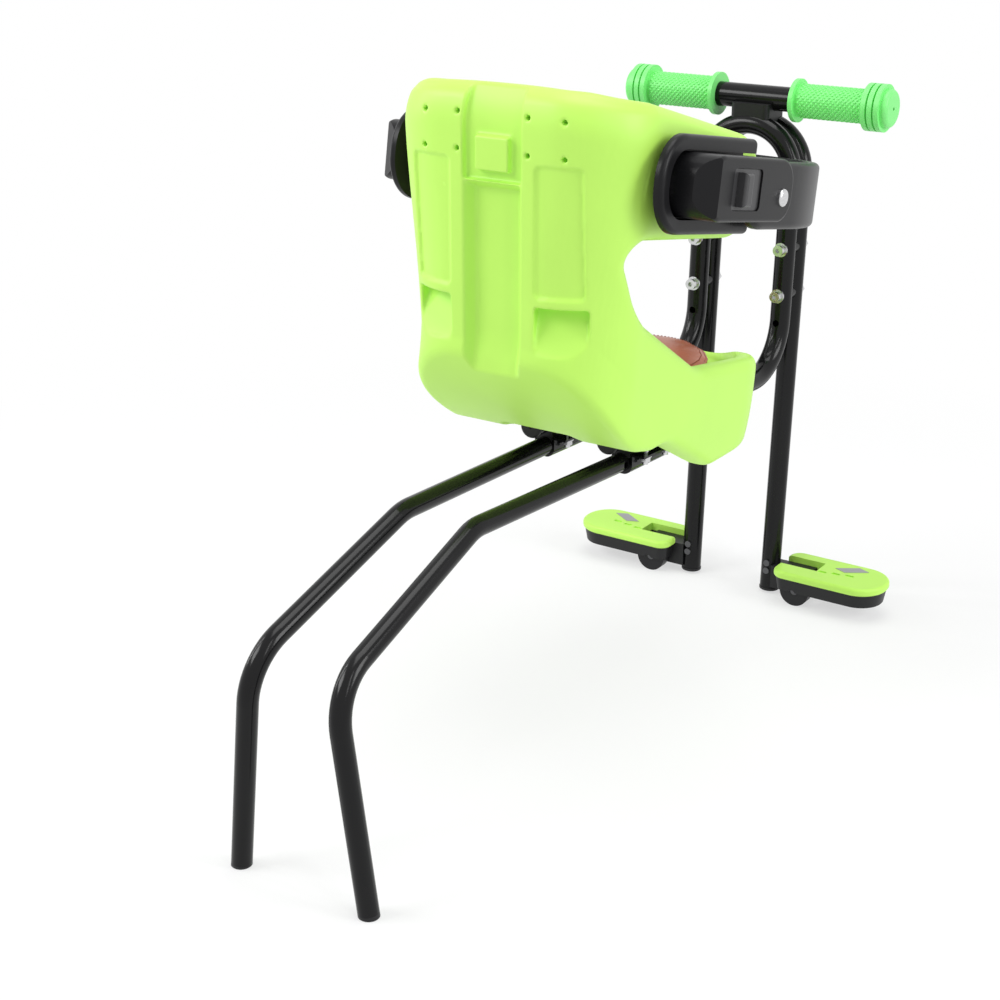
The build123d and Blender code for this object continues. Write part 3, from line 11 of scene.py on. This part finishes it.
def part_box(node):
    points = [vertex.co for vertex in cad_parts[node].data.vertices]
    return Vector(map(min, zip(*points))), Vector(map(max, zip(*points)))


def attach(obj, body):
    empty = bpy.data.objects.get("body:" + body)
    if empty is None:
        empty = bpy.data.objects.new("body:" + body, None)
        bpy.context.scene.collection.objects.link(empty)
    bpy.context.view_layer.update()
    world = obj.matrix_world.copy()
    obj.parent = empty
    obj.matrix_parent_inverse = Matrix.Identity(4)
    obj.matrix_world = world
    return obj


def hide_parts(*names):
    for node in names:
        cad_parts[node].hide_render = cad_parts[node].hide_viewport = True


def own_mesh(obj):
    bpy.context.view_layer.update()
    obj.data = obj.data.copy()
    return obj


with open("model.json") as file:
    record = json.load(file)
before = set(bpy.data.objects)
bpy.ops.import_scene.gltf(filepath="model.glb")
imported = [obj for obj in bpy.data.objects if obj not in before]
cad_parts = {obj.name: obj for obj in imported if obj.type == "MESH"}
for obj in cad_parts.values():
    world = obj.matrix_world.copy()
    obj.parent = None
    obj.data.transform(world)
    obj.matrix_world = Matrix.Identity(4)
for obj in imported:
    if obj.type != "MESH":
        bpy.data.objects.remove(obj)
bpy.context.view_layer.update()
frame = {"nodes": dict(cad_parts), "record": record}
nodes = frame["nodes"]
scene = bpy.context.scene

MM = 0.001

# Surface colours, linear
SHELL_GREEN = (0.52, 0.90, 0.13)
GRIP_GREEN = (0.21, 0.82, 0.21)
LEATHER_BROWN = (0.34, 0.085, 0.032)
THREAD_BROWN = (0.20, 0.045, 0.018)
TUBE_BLACK = (0.006, 0.006, 0.0065)
MOULDED_BLACK = (0.011, 0.011, 0.012)
LATCH_BLACK = (0.009, 0.009, 0.010)
GUARD_BLACK = (0.010, 0.010, 0.011)
BUTTON_GREY = (0.035, 0.035, 0.037)
INSERT_GREY = (0.34, 0.34, 0.36)
STEEL = (0.62, 0.62, 0.63)
DARK_STEEL = (0.10, 0.10, 0.105)

# Tone and grain that every surface shares
TONE_DETAIL = 4
TONE_LOW = 0.3
TONE_HIGH = 0.7
GRAIN_DETAIL = 3
LEAST_ROUGHNESS = 0.02

# Leathercloth
LEATHER_ROUGHNESS = 0.34
PEBBLE_SCALE = 620
PEBBLE_STRENGTH = 0.30
PEBBLE_DEPTH = 0.4 * MM
CREASE_SCALE = 330
CREASE_STRENGTH = 0.35
CREASE_DEPTH = 0.5 * MM

# Soft pads
SMOOTH_FACTOR = 0.5
PAD_VOXEL = 5 * MM
PAD_PRESSURE = 4.0
PAD_FRAMES = 20
PAD_SMOOTHING = 3
CUSHION_SHRINK = 0.965
CUSHION_SWELL = 4 * MM
BACK_SHRINK = 0.97
BACK_SWELL = 3 * MM

# Cushion piping and stitches
SEAM_STEPS = 120
SEAM_REACH = 200 * MM
PIPING_LEVEL = 13 * MM
PIPING_R = 1.3 * MM
PIPING_SIDES = 8
STITCH_INSET = 0.93
STITCH_L = 2.6 * MM
STITCH_W = 0.8 * MM
STITCH_SIDES = 6
STITCH_PROFILE = ((-1, 0.4, -0.3), (-0.55, 1, 0.35), (0.55, 1, 0.35), (1, 0.4, -0.3))

# Moulded shell skin
SHELL_VOXEL = 1.4 * MM
SHELL_SMOOTHING = 3
SHELL_TRIANGLES = 180000
SIDE_Y = -45 * MM
RIM_FALL = 0.256
RIM_DEPTH = 30 * MM
RIM_LEAN_SIDE = 3 * MM
RIM_LEAN_REAR = 9 * MM
CORNER_DROP = 9 * MM
CORNER_FOOT_Z = 480 * MM
CORNER_POWER = 3
ARCH_CEILING_Z = 269 * MM
ARCH_FOOT_Z = 250 * MM
ARCH_RISE = 18 * MM
ARCH_HALF_W = 40 * MM
ARCH_POWER = 8
ARCH_REAR_Y = -5 * MM
ARCH_FALL = 0.5
BELLY_TOP = (0, -105 * MM, 350 * MM)
BELLY_FOOT = (0, -22 * MM, 252 * MM)
BELLY_SKIN = 18 * MM
BELLY_BULGE = 11 * MM

# Grip studs
GRIP_AXIS = (0.33098, 0.481)
GRIP_BARREL_R = 14.4 * MM
STUD_FIRST_X = 46.5 * MM
STUD_LAST_X = 106.0 * MM
STUDS_AROUND = 20
STUD_SIDES = 6
STUD_R = 1.45 * MM
STUD_HEIGHT = 1.0 * MM
STUD_ROOT = 0.4 * MM
STUD_PROFILE = ((1.0, 0), (0.95, 0.5), (0.75, 0.8), (0.4, 1.0))

# Rear leg ends, measured at the tube's middle line
LEG_FOOT = (59.3 * MM, -346.02 * MM)
LEG_ANKLE = (38.0 * MM, -349.02 * MM, 172.0 * MM)
LEG_R = 8.0 * MM
LEG_END_H = 3.0 * MM
LEG_END_EDGE = 0.6 * MM
LEG_END_SIDES = 40

# Photograph's camera
CAMERA_PLACE = (0.7248, -1.17022, 0.7199)
CAMERA_TURN = (radians(68.93), 0, radians(33.94))
CAMERA_LENS = 63.73
CAMERA_SENSOR = 36

# Stage and lights
FLOOR_HALF = 6
FLOOR_WHITE = (0.93, 0.935, 0.94, 1)
FLOOR_ROUGHNESS = 0.8
FLOOR_SPECULAR = 0.1
FADE_FROM = 0.35
FADE_TO = 1.1
FADE_LEAST = 0.6
WHITE = (1, 1, 1, 1)
WORLD_FILL = 0.36
LIGHT_AIM = (0, 0, 0.3)
SOFTBOXES = (
    ("key_light", (-1.5, -1.6, 1.9), (1.4, 1.0), 36),
    ("side_light", (2.2, 0.3, 1.3), (0.9, 1.2), 24),
    ("top_light", (0.1, 0.2, 2.4), (1.4, 1.4), 22),
    ("left_strip", (-1.9, -0.5, 1.1), (0.12, 1.5), 7),
    ("right_strip", (1.7, -0.9, 1.6), (0.12, 1.2), 5),
)

X, Y, Z = Vector((1, 0, 0)), Vector((0, 1, 0)), Vector((0, 0, 1))


def link(name, mesh):
    piece = bpy.data.objects.new(name, mesh)
    scene.collection.objects.link(piece)
    return piece


def smooth(piece):
    for face in piece.data.polygons:
        face.use_smooth = True


def paint(piece, material):
    piece.data.materials.clear()
    piece.data.materials.append(material)


def voxels(piece, size):
    remesh = piece.modifiers.new("even", "REMESH")
    remesh.mode = "VOXEL"
    remesh.voxel_size = size


def ease(piece, iterations):
    soft = piece.modifiers.new("round", "SMOOTH")
    soft.factor = SMOOTH_FACTOR
    soft.iterations = iterations


def circle(middle, across, up, radius, count):
    """Points round a circle from across towards up."""
    turns = [2 * pi * k / count for k in range(count)]
    return [middle + radius * (across * cos(turn) + up * sin(turn)) for turn in turns]


def skirt(bm, a, b):
    """Faces between two loops of as many points."""
    count = len(a)
    for k in range(count):
        after = (k + 1) % count
        bm.faces.new((a[k], a[after], b[after], b[k]))


def built(name, bm, material):
    """The finished piece of a mesh under construction."""
    mesh = bpy.data.meshes.new(name)
    bmesh.ops.recalc_face_normals(bm, faces=bm.faces)
    bm.to_mesh(mesh)
    bm.free()
    piece = link(name, mesh)
    paint(piece, material)
    return piece


def bake(piece):
    """Replaces the piece's mesh by its modified form."""
    graph = bpy.context.evaluated_depsgraph_get()
    mesh = bpy.data.meshes.new_from_object(piece.evaluated_get(graph))
    piece.modifiers.clear()
    piece.data = mesh


# Materials

def surface(name, colour, rough, drift=0.06, drift_scale=14, grain_scale=900, grain=0.08, grain_depth=0.0002,
            rough_drift=0.06, metallic=0.0, specular=0.5, coat=0.0, coat_rough=0.1, stretch=None):
    """A surface with drifting tone and roughness and a fine grain."""
    material = bpy.data.materials.new(name)
    material.use_nodes = True
    tree = material.node_tree
    shader = tree.nodes["Principled BSDF"]
    shader.inputs["Metallic"].default_value = metallic
    shader.inputs["Specular IOR Level"].default_value = specular
    shader.inputs["Coat Weight"].default_value = coat
    shader.inputs["Coat Roughness"].default_value = coat_rough
    place = tree.nodes.new("ShaderNodeTexCoord").outputs["Object"]
    if stretch:
        mapping = tree.nodes.new("ShaderNodeMapping")
        mapping.inputs["Scale"].default_value = stretch
        tree.links.new(place, mapping.inputs["Vector"])
        place = mapping.outputs["Vector"]

    tone = tree.nodes.new("ShaderNodeTexNoise")
    tone.inputs["Scale"].default_value = drift_scale
    tone.inputs["Detail"].default_value = TONE_DETAIL
    tree.links.new(place, tone.inputs["Vector"])
    ramp = tree.nodes.new("ShaderNodeValToRGB")
    ramp.color_ramp.elements[0].position = TONE_LOW
    ramp.color_ramp.elements[1].position = TONE_HIGH
    ramp.color_ramp.elements[0].color = [c * (1 - drift) for c in colour] + [1]
    ramp.color_ramp.elements[1].color = [min(1, c * (1 + drift)) for c in colour] + [1]
    tree.links.new(tone.outputs["Fac"], ramp.inputs["Fac"])
    tree.links.new(ramp.outputs["Color"], shader.inputs["Base Color"])

    spread = tree.nodes.new("ShaderNodeMapRange")
    spread.inputs["To Min"].default_value = max(LEAST_ROUGHNESS, rough - rough_drift)
    spread.inputs["To Max"].default_value = rough + rough_drift
    tree.links.new(tone.outputs["Fac"], spread.inputs["Value"])
    tree.links.new(spread.outputs["Result"], shader.inputs["Roughness"])

    fine = tree.nodes.new("ShaderNodeTexNoise")
    fine.inputs["Scale"].default_value = grain_scale
    fine.inputs["Detail"].default_value = GRAIN_DETAIL
    tree.links.new(place, fine.inputs["Vector"])
    bump = tree.nodes.new("ShaderNodeBump")
    bump.inputs["Strength"].default_value = grain
    bump.inputs["Distance"].default_value = grain_depth
    tree.links.new(fine.outputs["Fac"], bump.inputs["Height"])
    tree.links.new(bump.outputs["Normal"], shader.inputs["Normal"])
    return material


def leather(name, colour):
    """Pebbled leathercloth with creases."""
    material = surface(name, colour, LEATHER_ROUGHNESS, drift=0.10, drift_scale=30, rough_drift=0.08)
    tree = material.node_tree
    shader = tree.nodes["Principled BSDF"]
    place = tree.nodes["Texture Coordinate"].outputs["Object"]
    pebble = tree.nodes.new("ShaderNodeTexVoronoi")
    pebble.feature = "SMOOTH_F1"
    pebble.inputs["Scale"].default_value = PEBBLE_SCALE
    tree.links.new(place, pebble.inputs["Vector"])
    crease = tree.nodes.new("ShaderNodeTexVoronoi")
    crease.feature = "DISTANCE_TO_EDGE"
    crease.inputs["Scale"].default_value = CREASE_SCALE
    tree.links.new(place, crease.inputs["Vector"])
    deep = tree.nodes.new("ShaderNodeBump")
    deep.inputs["Strength"].default_value = CREASE_STRENGTH
    deep.inputs["Distance"].default_value = CREASE_DEPTH
    tree.links.new(crease.outputs["Distance"], deep.inputs["Height"])
    rise = tree.nodes.new("ShaderNodeBump")
    rise.invert = True
    rise.inputs["Strength"].default_value = PEBBLE_STRENGTH
    rise.inputs["Distance"].default_value = PEBBLE_DEPTH
    tree.links.new(pebble.outputs["Distance"], rise.inputs["Height"])
    tree.links.new(deep.outputs["Normal"], rise.inputs["Normal"])
    tree.links.new(rise.outputs["Normal"], shader.inputs["Normal"])
    return material


shell_green = surface("shell_green", SHELL_GREEN, 0.44, drift=0.035, drift_scale=9, grain_scale=1400,
                      grain=0.10, grain_depth=0.00012, specular=0.45)
grip_green = surface("grip_green", GRIP_GREEN, 0.42, drift=0.06, grain_scale=1800, grain=0.12)
tube_black = surface("tube_black", TUBE_BLACK, 0.16, drift=0.15, rough_drift=0.04, grain_scale=260,
                     grain=0.05, grain_depth=0.0001, specular=0.22)
moulded_black = surface("moulded_black", MOULDED_BLACK, 0.42, drift=0.12, grain_scale=1500, grain=0.16,
                        specular=0.3)
latch_black = surface("latch_black", LATCH_BLACK, 0.30, drift=0.10, grain_scale=1700, grain=0.18,
                      specular=0.16)
guard_black = surface("guard_black", GUARD_BLACK, 0.34, drift=0.10, grain_scale=1300, grain=0.20,
                      specular=0.22)
button_grey = surface("button_grey", BUTTON_GREY, 0.40, drift=0.08, grain_scale=1500, grain=0.15)
insert_grey = surface("insert_grey", INSERT_GREY, 0.55, drift=0.07, grain_scale=1200, grain=0.20)
steel = surface("bright_steel", STEEL, 0.24, drift=0.06, drift_scale=120, rough_drift=0.07, metallic=1.0,
                grain_scale=500, grain=0.08, grain_depth=0.0001, stretch=(1, 1, 6))
dark_steel = surface("dark_steel", DARK_STEEL, 0.36, drift=0.10, drift_scale=120, metallic=0.9,
                     grain_scale=500, grain=0.08, grain_depth=0.0001)
leather_brown = leather("brown_leather", LEATHER_BROWN)
thread_brown = surface("thread_brown", THREAD_BROWN, 0.65, drift=0.20, drift_scale=400, grain_scale=2500,
                       grain=0.4)

by_slot = {
    "tube_black": tube_black, "moulded_black": moulded_black, "button_grey": button_grey,
    "guard_black": guard_black, "shell_green": shell_green, "grip_green": grip_green,
    "brown_leather": leather_brown, "insert_grey": insert_grey, "bright_steel": steel,
}
for row in frame["record"]["subparts"]:
    paint(nodes[row["node"]], by_slot[row["material_slot"]])
for side in ("left", "right"):
    paint(nodes["latch_base_" + side], latch_black)
    paint(nodes["buckle_body_" + side], latch_black)
    paint(nodes["pedal_pin_" + side], dark_steel)
paint(nodes["plug_screws"], dark_steel)


# Moulded shell with its edges rounded over

def soften(skin):
    """Leans the rim in, lowers the rear corners, rounds out the belly and arches it over the clamp."""
    low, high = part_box("seat_shell")
    top = Vector(BELLY_TOP)
    slope = Vector(BELLY_FOOT) - top
    outward = slope.cross(X).normalized()
    for v in skin.data.vertices:
        x, y, z = v.co
        rear = min(1, max(0, (SIDE_Y - y) / (SIDE_Y - low.y)))
        depth = max(0, high.z - RIM_FALL * (y - low.y) - z)
        if depth < RIM_DEPTH:
            lean = RIM_LEAN_SIDE + (RIM_LEAN_REAR - RIM_LEAN_SIDE) * rear
            inward = Vector((-x / high.x, rear, 0)).normalized()
            v.co += inward * lean * (1 - depth / RIM_DEPTH) ** 2
        if z > CORNER_FOOT_Z:
            share = (z - CORNER_FOOT_Z) / (high.z - CORNER_FOOT_Z)
            v.co.z -= CORNER_DROP * (abs(x) / high.x) ** CORNER_POWER * rear * share
        offset = Vector((0, y, z)) - top
        along = offset.dot(slope) / slope.length_squared
        inside = max(0, -offset.dot(outward))
        if 0 < along < 1 and inside < BELLY_SKIN:
            v.co += outward * BELLY_BULGE * 4 * along * (1 - along) * (1 - inside / BELLY_SKIN)
        if z < ARCH_CEILING_Z:
            arch = ARCH_RISE * max(0, 1 - (x / ARCH_HALF_W) ** ARCH_POWER)
            fall = ARCH_FALL * max(0, y - ARCH_REAR_Y)
            v.co.z = max(v.co.z, ARCH_FOOT_Z + arch - fall)


def shell_skin():
    skin = link("seat_shell_skin", nodes["seat_shell"].data.copy())
    voxels(skin, SHELL_VOXEL)
    bake(skin)
    soften(skin)
    ease(skin, SHELL_SMOOTHING)
    bake(skin)
    fewer = skin.modifiers.new("fewer", "DECIMATE")
    fewer.ratio = min(1, SHELL_TRIANGLES / (2 * len(skin.data.polygons)))
    bake(skin)
    smooth(skin)
    paint(skin, shell_green)
    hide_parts("seat_shell")
    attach(skin, "seat")


shell_skin()


# Soft pads

def puff(name, node, shrink, swell, out, floor):
    """A stuffed cover from a CAD pad: smaller, blown up, and kept flat where it rests."""
    pad = link(name, nodes[node].data.copy())
    low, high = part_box(node)
    middle = (low + high) / 2
    rest = middle - out * abs((high - low).dot(out)) / 2
    for v in pad.data.vertices:
        offset = v.co - rest
        along = out * offset.dot(out)
        v.co = rest + along + (offset - along) * shrink
    voxels(pad, PAD_VOXEL)
    bake(pad)
    start = [v.co.copy() for v in pad.data.vertices]
    cloth = pad.modifiers.new("cloth", "CLOTH")
    cloth.settings.use_pressure = True
    cloth.settings.uniform_pressure_force = PAD_PRESSURE
    cloth.settings.effector_weights.gravity = 0
    cloth.point_cache.frame_start = 1
    cloth.point_cache.frame_end = PAD_FRAMES
    for step in range(1, PAD_FRAMES + 1):
        scene.frame_set(step)
    bake(pad)
    scene.frame_set(1)
    for v, was in zip(pad.data.vertices, start):
        move = v.co - was
        if move.length > swell:
            move = move.normalized() * swell
        v.co = was + move
    for v in pad.data.vertices:
        below = (v.co - floor).dot(out)
        if below < 0:
            v.co -= out * below
    ease(pad, PAD_SMOOTHING)
    fine = pad.modifiers.new("fine", "SUBSURF")
    fine.levels = 1
    fine.render_levels = 1
    bake(pad)
    smooth(pad)
    paint(pad, leather_brown)
    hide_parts(node)
    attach(pad, "seat")
    return pad


def ring(name, points, radius, material):
    """A closed round bead through the points."""
    bm = bmesh.new()
    count = len(points)
    loops = []
    for i, point in enumerate(points):
        ahead = (points[(i + 1) % count] - points[i - 1]).normalized()
        side = ahead.cross(Z).normalized()
        loop = circle(point, side, side.cross(ahead), radius, PIPING_SIDES)
        loops.append([bm.verts.new(place) for place in loop])
    for i in range(count):
        skirt(bm, loops[i], loops[(i + 1) % count])
    piece = built(name, bm, material)
    smooth(piece)
    return piece


def stitches(name, places, aims, outs, length, width, material):
    """Short rounded threads lying along a seam."""
    bm = bmesh.new()
    for place, aim, out in zip(places, aims, outs):
        across = aim.cross(out).normalized()
        rows = []
        for part, size, lift in STITCH_PROFILE:
            middle = place + aim * (part * length / 2) + out * (lift * width)
            loop = circle(middle, across, out, width * size / 2, STITCH_SIDES)
            rows.append([bm.verts.new(point) for point in loop])
        for a, b in zip(rows, rows[1:]):
            skirt(bm, a, b)
        bm.faces.new(rows[0])
        bm.faces.new(list(reversed(rows[-1])))
    piece = built(name, bm, material)
    smooth(piece)
    return piece


def trim(pad, prefix, centre, out, across, up, reach, level, inset):
    """Piping round the pad's edge and a row of stitches inside it, both set on the pad's own surface."""
    tree = BVHTree.FromObject(pad, bpy.context.evaluated_depsgraph_get())
    edge = []
    for i in range(SEAM_STEPS):
        turn = 2 * pi * i / SEAM_STEPS
        ray = (across * cos(turn) + up * sin(turn)).normalized()
        origin = centre + out * level + ray * reach
        hit, _, _, _ = tree.ray_cast(origin, -ray)
        edge.append(hit)
    piping = ring(prefix + "_piping", edge, PIPING_R, leather_brown)
    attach(piping, "seat")
    places, aims, outs = [], [], []
    for i in range(SEAM_STEPS):
        inner = centre + (edge[i] - centre) * inset
        origin = inner + out * reach
        hit, normal, _, _ = tree.ray_cast(origin, -out)
        before = centre + (edge[i - 1] - centre) * inset
        after = centre + (edge[(i + 1) % SEAM_STEPS] - centre) * inset
        aim = (after - before).normalized()
        aim = (aim - normal * aim.dot(normal)).normalized()
        places.append(hit)
        aims.append(aim)
        outs.append(normal)
    seam = stitches(prefix + "_stitches", places, aims, outs, STITCH_L, STITCH_W, thread_brown)
    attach(seam, "seat")


low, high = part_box("seat_cushion")
cushion_foot = Vector((0, (low.y + high.y) / 2, low.z))
cushion = puff("cushion_cover", "seat_cushion", CUSHION_SHRINK, CUSHION_SWELL, Z, cushion_foot)
trim(cushion, "cushion", cushion_foot, Z, X, Y, SEAM_REACH, PIPING_LEVEL, STITCH_INSET)

low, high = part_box("back_pad")
pad_foot = Vector((0, low.y, (low.z + high.z) / 2))
puff("back_pad_cover", "back_pad", BACK_SHRINK, BACK_SWELL, Y, pad_foot)


# Button springs, copied from their CAD parts as steel leaves

def pressed_spring(side):
    node = "button_spring_" + side
    spring = link(node + "_leaf", nodes[node].data.copy())
    paint(spring, steel)
    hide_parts(node)
    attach(spring, "seat")
    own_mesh(spring)


pressed_spring("right")
pressed_spring("left")


# Rear leg ends, level with their tubes and flat on the floor

def leg_ends():
    bm = bmesh.new()
    for sign in (-1, 1):
        foot = Vector((sign * LEG_FOOT[0], LEG_FOOT[1], 0))
        ankle = Vector((sign * LEG_ANKLE[0], LEG_ANKLE[1], LEG_ANKLE[2]))
        shin = (ankle - foot).normalized()
        side = Y.cross(shin).normalized()
        front = shin.cross(side)
        rings = []
        for height, radius in ((0, LEG_R - LEG_END_EDGE), (LEG_END_EDGE, LEG_R)):
            rim = circle(foot, side, front, radius, LEG_END_SIDES)
            rings.append([bm.verts.new(point + shin * (height - point.z) / shin.z) for point in rim])
        top = circle(foot + shin * LEG_END_H, side, front, LEG_R, LEG_END_SIDES)
        rings.append([bm.verts.new(point) for point in top])
        for a, b in zip(rings, rings[1:]):
            skirt(bm, a, b)
        bm.faces.new(rings[0])
        bm.faces.new(rings[-1])
    piece = built("rear_leg_ends", bm, moulded_black)
    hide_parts("rear_leg_caps")
    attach(piece, "seat")


leg_ends()


# Grip studs

def grip_studs(side, sign):
    bm = bmesh.new()
    pitch = 2 * pi * GRIP_BARREL_R / STUDS_AROUND
    rows = int((STUD_LAST_X - STUD_FIRST_X) / (pitch / 2))
    for row in range(rows + 1):
        x = STUD_FIRST_X + row * pitch / 2
        for step in range(STUDS_AROUND):
            turn = 2 * pi * (step + 0.5 * (row % 2)) / STUDS_AROUND
            out = Vector((0, cos(turn), sin(turn)))
            around = Vector((0, -sin(turn), cos(turn)))
            foot = Vector((sign * x, *GRIP_AXIS)) + out * (GRIP_BARREL_R - STUD_ROOT)
            levels = []
            for size, lift in STUD_PROFILE:
                rise = out * lift * (STUD_HEIGHT + STUD_ROOT)
                loop = circle(foot + rise, X, around, size * STUD_R, STUD_SIDES)
                levels.append([bm.verts.new(point) for point in loop])
            for a, b in zip(levels, levels[1:]):
                skirt(bm, a, b)
            bm.faces.new(levels[-1])
            bm.faces.new(list(reversed(levels[0])))
    piece = built("grip_studs_" + side, bm, grip_green)
    smooth(piece)
    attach(piece, "seat")


grip_studs("right", 1)
grip_studs("left", -1)


# Stage, lights and camera

def floor():
    mesh = bpy.data.meshes.new("floor")
    bm = bmesh.new()
    bmesh.ops.create_grid(bm, x_segments=1, y_segments=1, size=FLOOR_HALF)
    bm.to_mesh(mesh)
    bm.free()
    piece = link("floor", mesh)
    material = bpy.data.materials.new("floor_white")
    material.use_nodes = True
    tree = material.node_tree
    shader = tree.nodes["Principled BSDF"]
    shader.inputs["Base Color"].default_value = FLOOR_WHITE
    shader.inputs["Roughness"].default_value = FLOOR_ROUGHNESS
    shader.inputs["Specular IOR Level"].default_value = FLOOR_SPECULAR
    glow = tree.nodes.new("ShaderNodeEmission")
    glow.inputs["Color"].default_value = WHITE
    glow.inputs["Strength"].default_value = 1
    place = tree.nodes.new("ShaderNodeTexCoord")
    reach = tree.nodes.new("ShaderNodeVectorMath")
    reach.operation = "LENGTH"
    tree.links.new(place.outputs["Object"], reach.inputs[0])
    fade = tree.nodes.new("ShaderNodeMapRange")
    fade.inputs["From Min"].default_value = FADE_FROM
    fade.inputs["From Max"].default_value = FADE_TO
    fade.inputs["To Min"].default_value = FADE_LEAST
    tree.links.new(reach.outputs["Value"], fade.inputs["Value"])
    mix = tree.nodes.new("ShaderNodeMixShader")
    tree.links.new(fade.outputs["Result"], mix.inputs["Fac"])
    tree.links.new(shader.outputs["BSDF"], mix.inputs[1])
    tree.links.new(glow.outputs["Emission"], mix.inputs[2])
    tree.links.new(mix.outputs["Shader"], tree.nodes["Material Output"].inputs["Surface"])
    piece.data.materials.append(material)


floor()

world = bpy.data.worlds.new("studio")
scene.world = world
world.use_nodes = True
tree = world.node_tree
fill = tree.nodes["Background"]
fill.inputs["Color"].default_value = WHITE
fill.inputs["Strength"].default_value = WORLD_FILL
shown = tree.nodes.new("ShaderNodeBackground")
shown.inputs["Color"].default_value = WHITE
shown.inputs["Strength"].default_value = 1
rays = tree.nodes.new("ShaderNodeLightPath")
either = tree.nodes.new("ShaderNodeMath")
either.operation = "MAXIMUM"
tree.links.new(rays.outputs["Is Camera Ray"], either.inputs[0])
tree.links.new(rays.outputs["Is Glossy Ray"], either.inputs[1])
every = tree.nodes.new("ShaderNodeMath")
every.operation = "MAXIMUM"
tree.links.new(either.outputs["Value"], every.inputs[0])
tree.links.new(rays.outputs["Is Transmission Ray"], every.inputs[1])
blend = tree.nodes.new("ShaderNodeMixShader")
tree.links.new(every.outputs["Value"], blend.inputs["Fac"])
tree.links.new(fill.outputs["Background"], blend.inputs[1])
tree.links.new(shown.outputs["Background"], blend.inputs[2])
tree.links.new(blend.outputs["Shader"], tree.nodes["World Output"].inputs["Surface"])


def softbox(name, place, size, power):
    lamp = bpy.data.lights.new(name, "AREA")
    lamp.shape = "RECTANGLE"
    lamp.size, lamp.size_y = size
    lamp.energy = power
    piece = bpy.data.objects.new(name, lamp)
    scene.collection.objects.link(piece)
    piece.location = place
    aim = Vector(LIGHT_AIM) - Vector(place)
    piece.rotation_euler = aim.to_track_quat("-Z", "Y").to_euler()


for box in SOFTBOXES:
    softbox(*box)

camera = bpy.data.cameras.new("camera")
camera.lens = CAMERA_LENS
camera.sensor_width = CAMERA_SENSOR
camera_piece = bpy.data.objects.new("camera", camera)
scene.collection.objects.link(camera_piece)
camera_piece.location = CAMERA_PLACE
camera_piece.rotation_euler = CAMERA_TURN
scene.camera = camera_piece

scene.view_settings.view_transform = "Standard"
